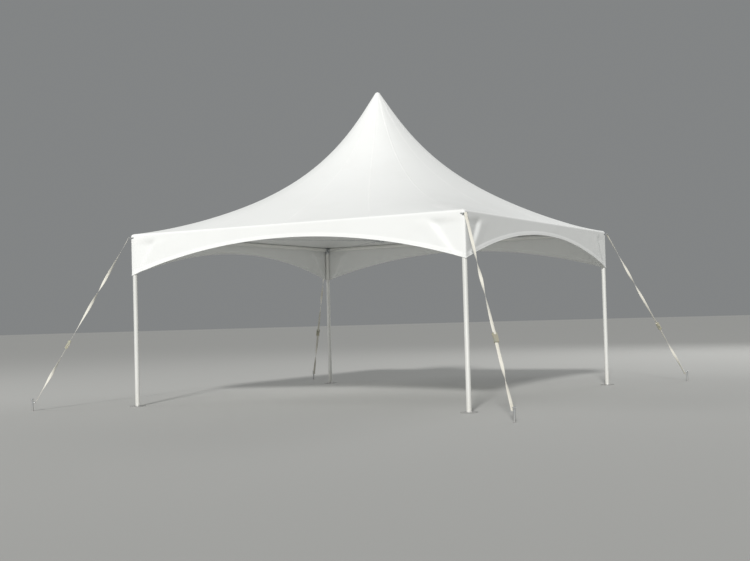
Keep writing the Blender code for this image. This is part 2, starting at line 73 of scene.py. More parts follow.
def deselectAll():
    if bpy.context.object and bpy.context.object.mode != "OBJECT":
        bpy.ops.object.mode_set(mode="OBJECT")
    bpy.ops.object.select_all(action="DESELECT")


def makeActive(piece):
    deselectAll()
    piece.select_set(True)
    bpy.context.view_layer.objects.active = piece


def startEdit(piece, select="SELECT"):
    makeActive(piece)
    bpy.ops.object.mode_set(mode="EDIT")
    bpy.ops.mesh.select_all(action=select)


def endEdit(piece):
    bpy.ops.object.mode_set(mode="OBJECT")
    return piece


def applyPlace(piece, place=None):
    if place is not None:
        piece.matrix_world = place
    makeActive(piece)
    bpy.ops.object.transform_apply(location=True, rotation=True, scale=True)
    return piece


def alongAxis(start, end):
    # Z runs from start towards end
    start, end = Vector(start), Vector(end)
    return Matrix.Translation(start) @ (end - start).to_track_quat("Z", "Y").to_matrix().to_4x4()


def axesAt(place, *axes):
    return Matrix.Translation(place) @ Matrix(axes).transposed().to_4x4()


def placeAlong(piece, place, way):
    # lays a piece modelled along X on a line in the corner's upright plane
    across = Vector((0, 1, 0))
    return applyPlace(piece, axesAt(place, way, across, way.cross(across)))


def addModifier(piece, kind, **settings):
    modifier = piece.modifiers.new(kind.lower(), kind)
    for key, value in settings.items():
        setattr(modifier, key, value)
    makeActive(piece)
    bpy.ops.object.modifier_apply(modifier=modifier.name)
    return piece


def dropSlivers(piece):
    # merges the points that a boolean or a clamped bevel leaves on top of each other
    startEdit(piece)
    bpy.ops.mesh.remove_doubles(threshold=2e-5)
    bpy.ops.mesh.dissolve_degenerate(threshold=1e-5)
    return endEdit(piece)


def bevelEdges(piece, width, segments=2, angle=50):
    addModifier(piece, "BEVEL", width=width, segments=segments, limit_method="ANGLE",
                angle_limit=math.radians(angle), use_clamp_overlap=True)
    return dropSlivers(piece)


def combine(piece, tools, operation="UNION"):
    for tool in tools:
        addModifier(piece, "BOOLEAN", operation=operation, solver="EXACT", object=tool)
        bpy.data.objects.remove(tool, do_unlink=True)
    return dropSlivers(piece)


def cutAway(piece, tools, width, segments=2):
    # cuts the tools out and breaks the edges
    return bevelEdges(combine(piece, tools, "DIFFERENCE"), width, segments)


def joinAll(pieces, name):
    makeActive(pieces[0])
    for piece in pieces[1:]:
        piece.select_set(True)
    bpy.ops.object.join()
    joined = bpy.context.object
    joined.name = name
    return joined


def smooth(piece, angle):
    makeActive(piece)
    bpy.ops.object.shade_smooth_by_angle(angle=math.radians(angle))
    return piece


def smoothHard(piece):
    # wide faces keep flat, and the rounding between them takes the shade
    smooth(piece, 45)
    return addModifier(piece, "WEIGHTED_NORMAL", weight=80, keep_sharp=True)


def addBox(low, high):
    deselectAll()
    middle = [(a + b) / 2 for a, b in zip(low, high)]
    bpy.ops.mesh.primitive_cube_add(size=1, location=middle)
    piece = bpy.context.object
    piece.scale = [b - a for a, b in zip(low, high)]
    return applyPlace(piece)


def addRod(start, end, radius, segments=24):
    deselectAll()
    start, end = Vector(start), Vector(end)
    length = (end - start).length
    bpy.ops.mesh.primitive_cone_add(vertices=segments, radius1=radius, radius2=radius, depth=length)
    place = alongAxis(start, end) @ Matrix.Translation((0, 0, length / 2))
    return applyPlace(bpy.context.object, place)


def addBall(middle, radius, segments):
    deselectAll()
    bpy.ops.mesh.primitive_uv_sphere_add(segments=segments, ring_count=segments // 2,
                                         radius=radius, location=middle)
    return applyPlace(bpy.context.object)


def addRing(middle, axis, ringRadius, rodRadius, segments):
    deselectAll()
    bpy.ops.mesh.primitive_torus_add(major_radius=ringRadius, minor_radius=rodRadius,
                                     major_segments=segments, minor_segments=8)
    return applyPlace(bpy.context.object, alongAxis(middle, Vector(middle) + Vector(axis)))


def addBolt(place, direction, radius=0.0065, height=0.0045):
    # hexagon head on a washer
    place, direction = Vector(place), Vector(direction).normalized()
    washer = addRod(place - direction * 0.0005, place + direction * 0.0012, radius * 1.35, 20)
    head = addRod(place, place + direction * (0.0012 + height), radius, 6)
    return bevelEdges(joinAll([washer, head], "bolt"), 0.0004, 1)


def roundEdges(piece, axis, places, width, segments):
    # rounds the edges that run along an axis (1 is Y, 2 is Z) at one of these x
    startEdit(piece, "DESELECT")
    bpy.context.tool_settings.mesh_select_mode = (False, True, False)
    bm = bmesh.from_edit_mesh(piece.data)
    for edge in bm.edges:
        a, b = (vert.co for vert in edge.verts)
        sameLine = all(abs(a[k] - b[k]) < tiny for k in range(3) if k != axis)
        here = any(abs(a.x - x) < tiny for x in places)
        edge.select_set(sameLine and here and abs(a[axis] - b[axis]) > tiny)
    bmesh.update_edit_mesh(piece.data)
    bpy.ops.mesh.bevel(offset=width, segments=segments, profile=0.5, affect="EDGES")
    return endEdit(piece)


def linkNew(name, data):
    piece = bpy.data.objects.new(name, data)
    bpy.context.scene.collection.objects.link(piece)
    return piece


def linkMesh(bm, name):
    bmesh.ops.recalc_face_normals(bm, faces=bm.faces)
    mesh = bpy.data.meshes.new(name)
    bm.to_mesh(mesh)
    bm.free()
    return linkNew(name, mesh)


def spinProfile(profile, segments, start=(0, 0, 0), end=(0, 0, 1)):
    # draws (radius, height) points and spins them round the axis from start towards end;
    # a profile that begins on the axis ends there too, and any other is a closed ring
    count = len(profile)
    steps = count - 1 if profile[0][0] == 0 else count
    edges = [(i, (i + 1) % count) for i in range(steps)]
    mesh = bpy.data.meshes.new("profile")
    mesh.from_pydata([(r, 0, z) for r, z in profile], edges, [])
    piece = linkNew("turned", mesh)
    startEdit(piece)
    bpy.ops.mesh.spin(steps=segments, angle=turn, center=(0, 0, 0), axis=(0, 0, 1))
    bpy.ops.mesh.select_all(action="SELECT")
    bpy.ops.mesh.remove_doubles(threshold=1e-5)
    bpy.ops.mesh.normals_make_consistent(inside=False)
    return applyPlace(endEdit(piece), alongAxis(start, end))


def loft(loops, name, closed=False):
    # a skin through loops of equal length; with closed, the last loop meets the first
    bm = bmesh.new()
    rows = [[bm.verts.new(p) for p in loop] for loop in loops]
    count = len(rows[0])
    for low, high in zip(rows, rows[1:] + rows[:1] if closed else rows[1:]):
        for i in range(count):
            j = (i + 1) % count
            bm.faces.new((low[i], low[j], high[j], high[i]))
    if not closed:
        bm.faces.new(rows[0])
        bm.faces.new(rows[-1])
    return linkMesh(bm, name)


def circleLoop(middle, side, other, radius, count):
    return [middle + (side * math.cos(a) + other * math.sin(a)) * radius
            for a in (turn * k / count for k in range(count))]


def neighbours(path, i, closed):
    if closed:
        return path[i - 1], path[(i + 1) % len(path)]
    return path[max(i - 1, 0)], path[min(i + 1, len(path) - 1)]


def evenly(start, end, steps):
    # points from start to end, both included
    return [tuple(a + (b - a) * k / steps for a, b in zip(start, end)) for k in range(steps + 1)]


def sweepRod(points, radius, segments=12, closed=False, swell=0.0, beat=2):
    # a round bar through the points, its section carried along without twist; swell widens it
    # from point to point, as a weld's ripples do
    points = [Vector(p) for p in points]
    loops = []
    side = None
    for i, p in enumerate(points):
        before, after = neighbours(points, i, closed)
        along = (after - before).normalized()
        if side is None:
            side = along.orthogonal().normalized()
        side = (side - along * side.dot(along)).normalized()
        width = radius * (1 + swell * (i % beat))
        loops.append(circleLoop(p, side, along.cross(side), width, segments))
    return loft(loops, "rod", closed)


def roundedPath(points, radius):
    # replaces each inner corner of a route by an arc
    steps = 5
    points = [Vector(p) for p in points]
    path = [points[0]]
    for before, corner, after in zip(points, points[1:], points[2:]):
        start = corner + (before - corner).normalized() * radius
        end = corner + (after - corner).normalized() * radius
        for k in range(steps + 1):
            t = k / steps
            path.append(start * (1 - t) ** 2 + corner * 2 * t * (1 - t) + end * t ** 2)
    return path + [points[-1]]


def finishPiece(piece, name, material, nodes):
    # every piece rides on the tent's one body
    piece.name = name
    piece.data.name = name
    piece.data.materials.clear()
    piece.data.materials.append(material)
    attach(piece, "root")
    if nodes:
        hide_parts(*nodes)
    return piece


def camel(words):
    first, *rest = words.split("_")
    return first + "".join(word.capitalize() for word in rest)


def copyPiece(piece):
    twin = piece.copy()
    twin.data = piece.data.copy()
    bpy.context.scene.collection.objects.link(twin)
    return twin


def copyTo(piece, place):
    return applyPlace(copyPiece(piece), place)


def toCorners(piece, stem, material, node=None, turnBack=0.0):
    # one finished corner piece becomes four, each with its own mesh
    for name, angle in corners.items():
        place = Matrix.Translation((-mastReach * math.cos(angle), -mastReach * math.sin(angle), 0))
        twin = copyTo(piece, place @ Matrix.Rotation(angle + turnBack, 4, "Z"))
        nodes = [f"{node}_{name}"] if node else []
        finishPiece(twin, camel(f"{stem}_{name}"), material, nodes)
    bpy.data.objects.remove(piece, do_unlink=True)


# Camera, floor and light

cameraValues = {
    "place": (8.064, -14.391, 1.119),
    "yaw": 29.64,             # degrees to the left of the tent's own front
    "pitch": 1.82,
    "roll": -1.55,
    "lens": 55.1,
}


def makeCamera():
    v = cameraValues
    yaw, pitch, roll = (math.radians(v[k]) for k in ("yaw", "pitch", "roll"))
    level = Vector((math.cos(yaw), math.sin(yaw), 0))
    forward = Vector((-math.sin(yaw) * math.cos(pitch), math.cos(yaw) * math.cos(pitch),
                      math.sin(pitch)))
    upright = level.cross(forward)
    right = level * math.cos(roll) + upright * math.sin(roll)
    up = upright * math.cos(roll) - level * math.sin(roll)
    data = bpy.data.cameras.new("photoCamera")
    data.lens = v["lens"]
    data.sensor_width = 36
    data.clip_end = 500
    camera = linkNew("photoCamera", data)
    camera.matrix_world = axesAt(v["place"], right, up, -forward)
    bpy.context.scene.camera = camera


stageValues = {
    "floorRadius": 150.0,
    "floorColour": (0.50, 0.50, 0.485, 1),
    "floorRoughness": 0.9,
    "backColour": (0.47, 0.485, 0.49, 1),
    "worldStrength": 0.48,
}


def makeStage():
    v = stageValues
    deselectAll()
    bpy.ops.mesh.primitive_circle_add(vertices=96, radius=v["floorRadius"], fill_type="NGON",
                                      location=(0, 0, -0.001))
    floor = applyPlace(bpy.context.object)
    floor.name = "studioFloor"
    material = bpy.data.materials.new("studioFloor")
    material.use_nodes = True
    shader = material.node_tree.nodes["Principled BSDF"]
    shader.inputs["Base Color"].default_value = v["floorColour"]
    shader.inputs["Roughness"].default_value = v["floorRoughness"]
    floor.data.materials.append(material)
    world = bpy.data.worlds.new("studio")
    bpy.context.scene.world = world
    world.use_nodes = True
    background = world.node_tree.nodes["Background"]
    background.inputs["Color"].default_value = v["backColour"]
    background.inputs["Strength"].default_value = v["worldStrength"]


lightAim = (0, 0, 1.8)
lightValues = {
    "key": {"kind": "SUN", "place": (6.1, -16.6, 10.3), "size": math.radians(6), "power": 2.62,
            "colour": (1.0, 0.992, 0.972)},
    "fill": {"kind": "AREA", "place": (-12.0, -8.0, 12.0), "size": 9.0, "power": 560,
             "colour": (1.0, 0.995, 0.98)},
    "back": {"kind": "AREA", "place": (4.0, 17.0, 11.0), "size": 9.0, "power": 800,
             "colour": (1.0, 1.0, 0.99)},
}


def makeLights():
    for name, values in lightValues.items():
        data = bpy.data.lights.new(name, values["kind"])
        if values["kind"] == "AREA":
            data.shape = "DISK"
            data.size = values["size"]
        else:
            data.angle = values["size"]
        data.energy = values["power"]
        data.color = values["colour"]
        light = linkNew(name, data)
        place = Vector(values["place"])
        turned = (Vector(lightAim) - place).to_track_quat("-Z", "Y").to_matrix().to_4x4()
        light.matrix_world = Matrix.Translation(place) @ turned
    bpy.context.scene.view_settings.view_transform = "Standard"


makeCamera()
makeStage()
makeLights()
print("camera, floor and light are in place")


# Shared effects, each a node group that materials place with their own values

def feed(tree, node, **sources):
    # joins an output, or gives a plain value, to the input of that name or number
    for key, source in sources.items():
        numbered = key[1:].isdigit()
        socket = node.inputs[int(key[1:]) if numbered else key.replace("_", " ")]
        if isinstance(source, bpy.types.NodeSocket):
            tree.links.new(source, socket)
        else:
            socket.default_value = source
    return node


def addNode(tree, kind, **given):
    # small-letter names are the node's settings; capitals and i0, i1, ... are its inputs
    node = tree.nodes.new("ShaderNode" + kind)
    for key, value in given.items():
        if key[0].islower() and not key[1:].isdigit():
            setattr(node, key, value)
        else:
            feed(tree, node, **{key: value})
    return node


def mathNode(tree, operation, *values):
    sources = {f"i{k}": value for k, value in enumerate(values)}
    return addNode(tree, "Math", operation=operation, **sources).outputs[0]


def mapRange(tree, value, low, high, newLow=0.0, newHigh=1.0):
    return addNode(tree, "MapRange", interpolation_type="SMOOTHSTEP", i0=value, i1=low, i2=high,
                   i3=newLow, i4=newHigh).outputs[0]


def mixColour(tree, mask, first, second):
    return addNode(tree, "Mix", data_type="RGBA", i0=mask, i6=first, i7=second).outputs[2]


def newGroup(name, values, outputs):
    # every group takes a place and some values, and gives values
    tree = bpy.data.node_groups.new(name, "ShaderNodeTree")
    tree.interface.new_socket("Vector", in_out="INPUT", socket_type="NodeSocketVector")
    for names, way in ((values, "INPUT"), (outputs, "OUTPUT")):
        for socketName in names:
            tree.interface.new_socket(socketName, in_out=way, socket_type="NodeSocketFloat")
    return tree, tree.nodes.new("NodeGroupInput").outputs, tree.nodes.new("NodeGroupOutput")


def makePatches():
    # soft blotches: dirt, wear, powder
    tree, given, out = newGroup("softPatches", ["Scale", "Cover"], ["Mask"])
    wide = addNode(tree, "TexNoise", Vector=given["Vector"], Scale=given["Scale"], Detail=7.0,
                   Roughness=0.62)
    low = mathNode(tree, "SUBTRACT", 0.78, given["Cover"])
    feed(tree, out, Mask=mapRange(tree, wide.outputs[0], low, mathNode(tree, "ADD", low, 0.22)))
    return tree


def makeGrain():
    # fine grain with a slower swell under it
    tree, given, out = newGroup("fineGrain", ["Scale"], ["Height"])
    slowScale = mathNode(tree, "MULTIPLY", given["Scale"], 0.12)
    fine, slow = (addNode(tree, "TexNoise", Vector=given["Vector"], Scale=scale, Detail=detail)
                  for scale, detail in ((given["Scale"], 3.0), (slowScale, 2.0)))
    swell = mathNode(tree, "MULTIPLY", slow.outputs[0], 1.6)
    feed(tree, out, Height=mathNode(tree, "ADD", fine.outputs[0], swell))
    return tree


def makeWeave():
    # over-and-under threads on a map in metres
    tree, given, out = newGroup("plainWeave", ["Pitch"], ["Height", "Thread"])
    split = addNode(tree, "SeparateXYZ", Vector=given["Vector"])
    waves = []
    for axis in (0, 1):
        phase = mathNode(tree, "MULTIPLY", split.outputs[axis], turn)
        waves.append(mathNode(tree, "SINE", mathNode(tree, "DIVIDE", phase, given["Pitch"])))
    crossed = mathNode(tree, "MULTIPLY", *waves)
    feed(tree, out, Height=mathNode(tree, "MULTIPLY", crossed, 0.5),
         Thread=mapRange(tree, crossed, -0.4, 0.4))
    return tree


def makeSplash():
    # dirt thrown up from the ground, fading out with height
    tree, given, out = newGroup("groundSplash", ["Height"], ["Mask"])
    split = addNode(tree, "SeparateXYZ", Vector=given["Vector"])
    share = mathNode(tree, "DIVIDE", split.outputs[2], given["Height"])
    spots = addNode(tree, "TexNoise", Vector=given["Vector"], Scale=260.0, Detail=8.0)
    feed(tree, out, Mask=mathNode(tree, "MULTIPLY", mapRange(tree, share, 0.0, 1.0, 1.0, 0.0),
                                  mapRange(tree, spots.outputs[0], 0.40, 0.66)))
    return tree


def makeSpangle():
    # the crystal flakes of hot-dip zinc
    tree, given, out = newGroup("zincSpangle", ["Scale"], ["Flake"])
    bent = addNode(tree, "TexNoise", Vector=given["Vector"], Scale=40.0)
    moved = addNode(tree, "VectorMath", operation="MULTIPLY_ADD", i0=bent.outputs[1],
                    i1=(0.004, 0.004, 0.004), i2=given["Vector"])
    cells = addNode(tree, "TexVoronoi", Vector=moved.outputs[0], Scale=given["Scale"])
    grey = addNode(tree, "SeparateColor", Color=cells.outputs["Color"])
    feed(tree, out, Flake=grey.outputs[0])
    return tree


groups = {"patches": makePatches(), "grain": makeGrain(), "weave": makeWeave(),
          "splash": makeSplash(), "spangle": makeSpangle()}


def addGroup(tree, name, place, **sources):
    return addNode(tree, "Group", node_tree=groups[name], Vector=place, **sources).outputs


def patchMask(tree, place, scale, cover):
    return addGroup(tree, "patches", place, Scale=scale, Cover=cover)["Mask"]


def splashMask(tree, place, height):
    return addGroup(tree, "splash", place, Height=height)["Mask"]


def coat(tree, body, mask, share, colour):
    # lays this share of a colour over the body where the mask is
    return mixColour(tree, mathNode(tree, "MULTIPLY", mask, share), body, colour)


def between(tree, mask, span):
    return mapRange(tree, mask, 0.0, 1.0, *span)


def newMaterial(name):
    material = bpy.data.materials.new(name)
    material.use_nodes = True
    return material, material.node_tree, addNode(material.node_tree, "TexCoord").outputs["Object"]


def finishMaterial(material, height, bump, **sources):
    tree = material.node_tree
    strength, distance = bump
    node = addNode(tree, "Bump", Strength=strength, Distance=distance, Height=height)
    feed(tree, tree.nodes["Principled BSDF"], Normal=node.outputs[0], **sources)
    return material


# In the materials' values, patches are a scale and a cover, and a bump is a strength and a
# distance. The other pairs run from clean to soiled or worn.

clothValues = {
    "colour": (0.885, 0.895, 0.885, 1),
    "doubled": (0.91, 0.915, 0.905, 1),
    "shade": (0.870, 0.879, 0.868, 1),
    "shadePatches": (1.3, 0.35),
    "dirt": (0.60, 0.585, 0.52, 1),
    "dirtPatches": (1.0, 0.10),
    "dirtStreak": (9.0, 0.7, 1.0),
    "dirtShare": 0.12,
    "dullPatches": (5.0, 0.30),
    "roughness": (0.60, 0.65),
    "specular": 0.30,
    "weavePitch": 0.0022,
    "weaveShare": 0.35,
    "grain": 420.0,
    "bump": (0.07, 0.0003),
}


def makeCloth(name, colour):
    v = clothValues
    material, tree, place = newMaterial(name)
    clothMap = addNode(tree, "UVMap", uv_map="cloth").outputs[0]
    body = mixColour(tree, patchMask(tree, place, *v["shadePatches"]), colour, v["shade"])
    streaked = addNode(tree, "Mapping", Vector=clothMap, Scale=v["dirtStreak"]).outputs[0]
    dirt = patchMask(tree, streaked, *v["dirtPatches"])
    dull = patchMask(tree, place, *v["dullPatches"])
    weave = addGroup(tree, "weave", clothMap, Pitch=v["weavePitch"])["Height"]
    grain = addGroup(tree, "grain", place, Scale=v["grain"])["Height"]
    height = mathNode(tree, "MULTIPLY_ADD", weave, v["weaveShare"], grain)
    return finishMaterial(
        material, height, v["bump"], Base_Color=coat(tree, body, dirt, v["dirtShare"], v["dirt"]),
        Roughness=between(tree, dull, v["roughness"]), Specular_IOR_Level=v["specular"])


tubeValues = {
    "colour": (0.885, 0.885, 0.855, 1),
    "shade": (0.83, 0.83, 0.80, 1),
    "dirt": (0.45, 0.40, 0.30, 1),
    "dirtHeight": 0.35,
    "dirtShare": 0.35,
    "scuffPatches": (9.0, 0.22),
    "metallic": 0.22,
    "roughness": (0.30, 0.48),
    "lines": 160.0,           # drawing lines across the tube
    "bump": (0.10, 0.0002),
}


def makeTubeMetal(name, stretch):
    # satin anodised tube; stretch is the pattern's scale on each axis, small along the tube
    v = tubeValues
    material, tree, place = newMaterial(name)
    lines = addNode(tree, "Mapping", Vector=place, Scale=stretch).outputs[0]
    drawn = addNode(tree, "TexNoise", Vector=lines, Scale=v["lines"], Detail=4.0).outputs[0]
    body = mixColour(tree, mapRange(tree, drawn, 0.35, 0.7), v["colour"], v["shade"])
    splash = splashMask(tree, place, v["dirtHeight"])
    dull = mathNode(tree, "MAXIMUM", patchMask(tree, lines, *v["scuffPatches"]), splash)
    return finishMaterial(
        material, drawn, v["bump"], Base_Color=coat(tree, body, splash, v["dirtShare"], v["dirt"]),
        Roughness=between(tree, dull, v["roughness"]), Metallic=v["metallic"])


zincValues = {
    "colour": (0.60, 0.615, 0.62, 1),
    "bright": (0.70, 0.715, 0.725, 1),
    "powder": (0.78, 0.79, 0.78, 1),
    "powderPatches": (60.0, 0.18),
    "powderShare": 0.5,
    "dirt": (0.25, 0.21, 0.15, 1),
    "dirtShare": 0.7,
    "spangle": 240.0,
    "roughness": (0.32, 0.62),
    "metallic": (0.9, 0.25),
    "grain": 500.0,
    "bump": (0.20, 0.0003),
}


def makeZinc(name, splashHeight):
    v = zincValues
    material, tree, place = newMaterial(name)
    flake = addGroup(tree, "spangle", place, Scale=v["spangle"])["Flake"]
    powder = patchMask(tree, place, *v["powderPatches"])
    splash = splashMask(tree, place, splashHeight)
    body = mixColour(tree, flake, v["colour"], v["bright"])
    body = coat(tree, body, powder, v["powderShare"], v["powder"])
    dull = mathNode(tree, "MAXIMUM", powder, splash)
    grain = addGroup(tree, "grain", place, Scale=v["grain"])["Height"]
    return finishMaterial(
        material, grain, v["bump"], Base_Color=coat(tree, body, splash, v["dirtShare"], v["dirt"]),
        Roughness=between(tree, dull, v["roughness"]),
        Metallic=between(tree, dull, v["metallic"]))


steelValues = {
    "thread": {"colour": (0.64, 0.605, 0.47, 1), "worn": (0.57, 0.56, 0.51, 1),
               "tint": (0.56, 0.59, 0.48, 1), "metallic": 0.0},
    "ratchet": {"colour": (0.64, 0.605, 0.47, 1), "worn": (0.57, 0.56, 0.51, 1),
                "tint": (0.56, 0.59, 0.48, 1), "metallic": 0.55},
    "cable": {"colour": (0.60, 0.61, 0.62, 1), "worn": (0.42, 0.42, 0.41, 1),
              "tint": (0.70, 0.71, 0.72, 1), "metallic": 0.9},
    "tintPatches": (22.0, 0.34),
    "wornPatches": (70.0, 0.24),
    "roughness": (0.34, 0.46),
    "grain": 700.0,
    "bump": (0.12, 0.0002),
}


def makeSteel(name, kind):
    # plated steel, and with no metal in it the sewing thread
    v, own = steelValues, steelValues[kind]
    material, tree, place = newMaterial(name)
    body = mixColour(tree, patchMask(tree, place, *v["tintPatches"]), own["colour"], own["tint"])
    worn = patchMask(tree, place, *v["wornPatches"])
    grain = addGroup(tree, "grain", place, Scale=v["grain"])["Height"]
    return finishMaterial(
        material, grain, v["bump"], Base_Color=mixColour(tree, worn, body, own["worn"]),
        Roughness=between(tree, worn, v["roughness"]), Metallic=own["metallic"])


webbingValues = {
    "colour": (0.83, 0.81, 0.74, 1),
    # painted shade: the hollows between the woven threads are drawn darker than the threads
    "paintedGrooveShade": (0.74, 0.715, 0.63, 1),
    "dirt": (0.40, 0.36, 0.27, 1),
    "dirtPatches": (14.0, 0.22),
    "dirtHeight": 0.5,
    "dirtShare": 0.35,
    "pitch": 0.0022,
    "roughness": (0.92, 0.74),    # between the threads, and on them
    "sheen": 0.15,
    "bump": (0.5, 0.0008),
}


def makeWebbing(name):
    v = webbingValues
    material, tree, place = newMaterial(name)
    strapMap = addNode(tree, "UVMap", uv_map="strap").outputs[0]
    weave = addGroup(tree, "weave", strapMap, Pitch=v["pitch"])
    # threads lighter, the hollows between them darker: painted shade in the weave's grooves
    body = mixColour(tree, weave["Thread"], v["paintedGrooveShade"], v["colour"])
    dirt = mathNode(tree, "MAXIMUM", patchMask(tree, place, *v["dirtPatches"]),
                    splashMask(tree, place, v["dirtHeight"]))
    return finishMaterial(
        material, weave["Height"], v["bump"],
        Base_Color=coat(tree, body, dirt, v["dirtShare"], v["dirt"]),
        Roughness=between(tree, weave["Thread"], v["roughness"]), Sheen_Weight=v["sheen"])


stitchThread = makeSteel("stitchThread", "thread")
canopyCloth = makeCloth("canopyCloth", clothValues["colour"])
weldedCloth = makeCloth("weldedCloth", clothValues["doubled"])
legMetal = makeTubeMetal("legMetal", (1.0, 1.0, 0.02))
beamMetal = [makeTubeMetal("beamMetalAcross", (0.02, 1.0, 1.0)),
             makeTubeMetal("beamMetalAlong", (1.0, 0.02, 1.0))]
fittingZinc = makeZinc("fittingZinc", 0.02)
groundZinc = makeZinc("groundZinc", 0.12)
ratchetSteel = makeSteel("ratchetSteel", "ratchet")
cableSteel = makeSteel("cableSteel", "cable")
strapWebbing = makeWebbing("strapWebbing")
print("materials are made")


# Canopy: one continuous welded cover, from the crown over the eave beams to the arched hem

canopyValues = {
    "tautness": 2.22,         # how strongly the roof is drawn in below the crown
    "terms": 60,
    "cloth": 0.0011,          # thickness of the coated cloth
    "cornerRound": 0.020,
    "roundFade": 60,          # how fast that rounding dies out up the roof
    "slotReach": 0.053,       # strap plate's slot, from the corner along each side
    "slotTop": 0.010,         # below the beam's axis
    "slotBottom": 0.028,
    "hemRise": 0.378,         # arch, from the legs to mid-side
    "hemBand": 0.040,
    "hemStep": 0.0012,        # from the doubled hem up to the single cloth
    "hemCord": 0.0048,        # radius of the cord welded into the hem
    "band": 0.0009,           # how proud doubled cloth stands
    "sink": 0.0001,           # and how little its welded edge does
    "columnNear": 0.036,      # columns beside a corner: the first one past the rounding,
    "columnStep": 0.0245,     # the distance of those beyond the slot,
    "columnCounts": (24, 8, 16),    # and how many there are: near, up to the first seam, beyond
    "slopeRows": 54,
    "slopeGrading": 1.7,      # above 1 the rows crowd towards the eave
    "rollRows": 9,
    "valanceRows": 18,
    "domeRows": 5,
    "seams": (1.25, 2.5, 3.75),     # along each side
    "seamHalf": 0.0125,
    "seamUnder": 0.03,        # how far the seams run on under the crown patch
    "hipStart": 6,            # rows of the eave roll that a hip's seam leaves free
    "ripple": 0.0065,         # soft waves of the hanging valance,
    "rippleTop": (0.03, 0.34),      # which begin this far below the beam and grow over that far,
    "rippleCorner": (0.02, 0.40),   # and in the same way from each corner
    "fold": 0.0055,           # tension folds that fan out from the valance's corners,
    "foldReach": 0.35,        # and how fast they die out
    "roofFold": 0.0034,       # the same for the roof's corners
    "roofFoldReach": 0.60,
    "roofSwell": 0.004,       # slow waves of the roof
    "crownFold": 0.0011,      # gathers below the crown
    "creaseSpan": (0.07, 0.37),     # from the leg to the corner crease, at the foot and the beam
    "creaseLean": 0.085,      # how steeply the valance runs in from the leg to that crease
    "creaseBack": (0.060, 0.150),   # width of the fold beyond it, at the foot and at the beam
    "creaseRidge": 0.005,     # and how far that fold stands out
    "creaseTop": (0.032, 0.10),     # as rippleTop
    "crownPatch": 0.20,       # radius of the doubled cloth below the crown
    "cornerPatch": 0.225,
    "cornerCloth": 0.0008,
    "cornerRows": (4, 12),    # rows of the corner patch below the slot and on the roof
}
crownRing = rollRadius        # the mast is as wide as the beams


def membranePoint(phi, u):
    # plan place on the roof as x + iy; phi is 0 on the front left hip, u the share of the rise
    a = canopyValues["tautness"]
    scale = 8 * math.sqrt(2) * axisOffset / math.pi ** 2
    total = 0
    for n in range(canopyValues["terms"]):
        order = 2 * n + 1
        k = order if n % 2 == 0 else -order
        decay = order * a
        whole = 1 - math.exp(-2 * decay)
        fade = math.exp(-decay * u) * (1 - math.exp(-2 * decay * (1 - u))) / whole
        total += scale / order ** 2 * fade * cmath.exp(1j * k * phi)
    total += crownRing * math.sinh(a * u) / math.sinh(a) * cmath.exp(1j * phi)
    return total * cmath.exp(-0.75j * math.pi)


def roofShape():
    step = 0.002
    change = abs(membranePoint(0, 1 - step)) - crownRing
    angle = math.atan(change / (step * (peakHeight - eaveHeight)))
    radius = crownRing / math.cos(angle)
    rise = peakHeight - eaveHeight - radius * (1 - math.sin(angle))
    return {"ringAngle": angle, "crownRadius": radius, "rise": rise}


roof = roofShape()


def eaveSlope(phi):
    local = phi % quarter
    step = 0.004
    inward = axisOffset + membranePoint(local, step).imag
    return math.atan(step * roof["rise"] / inward)


def smoothStep(value, low, high):
    t = min(max((value - low) / (high - low), 0), 1)
    return t * t * (3 - 2 * t)


def coverColumns():
    # distances from the left end of a side; more of them near the corners
    v = canopyValues
    close, middling, wide = v["columnCounts"]
    seam = v["seams"][0]
    half = [v["cornerRound"] * share for share in (0, 0.2, 0.4, 0.6, 0.8, 1.0)]
    half += [v["columnNear"]] + [v["slotReach"] + v["columnStep"] * i for i in range(close + 1)]
    half += [s for s, in evenly([half[-1]], [seam], middling)[1:]]
    half += [s for s, in evenly([seam], [halfSide], wide)[1:]]
    return half + [2 * halfSide - s for s in reversed(half[1:-1])]


def squarePlace(s, outward):
    # a point of the front side at this distance from its left end, with a rounded corner
    bend = canopyValues["cornerRound"]
    length = 2 * halfSide
    near = min(s, length - s)
    if near < bend:
        lean = math.pi / 4 * (1 - near / bend)
        reach = outward - bend + bend * math.sin(lean)
        x, y = -reach, -(outward - bend + bend * math.cos(lean))
    else:
        x, y = -halfSide + near, -outward
        x *= (outward - bend) / (halfSide - bend)
    if s > length / 2:
        x = -x
    return complex(x, y)


def hemHeight(x):
    rise = canopyValues["hemRise"]
    radius = (halfSide ** 2 + rise ** 2) / (2 * rise)
    return hemFoot + rise - radius + math.sqrt(max(radius ** 2 - x ** 2, 0))


def easeDown(height, span):
    # 0 down to the span's start below the beam's axis, easing to 1 over the span's length
    start, over = span
    return smoothStep(beamHeight - start - height, 0, over)


def cornerCrease(side, along, height):
    # a tension fold rises from the valance's foot at each leg to the beam, leaning outwards
    v = canopyValues
    corner = halfSide - abs(along)
    share = (height - hemFoot) / (beamHeight - hemFoot)
    varied = 1 + 0.14 * math.sin(2.3 * side + (1.9 if along > 0 else 0.2))
    foot, top = v["creaseSpan"]
    valley = foot + (top * varied - foot) * share
    back = v["creaseBack"][0] + (v["creaseBack"][1] - v["creaseBack"][0]) * share
    depth = v["creaseLean"] * varied * (valley - v["slotReach"])
    if corner < valley:
        shift = -depth * max(corner - v["slotReach"], 0) / (valley - v["slotReach"])
    else:
        past = smoothStep(corner - valley, 0, back)
        fade = 1 - smoothStep(corner - valley, back, 3 * back)
        shift = -depth * (1 - past) + v["creaseRidge"] * varied * past * fade
    return shift * easeDown(height, v["creaseTop"])


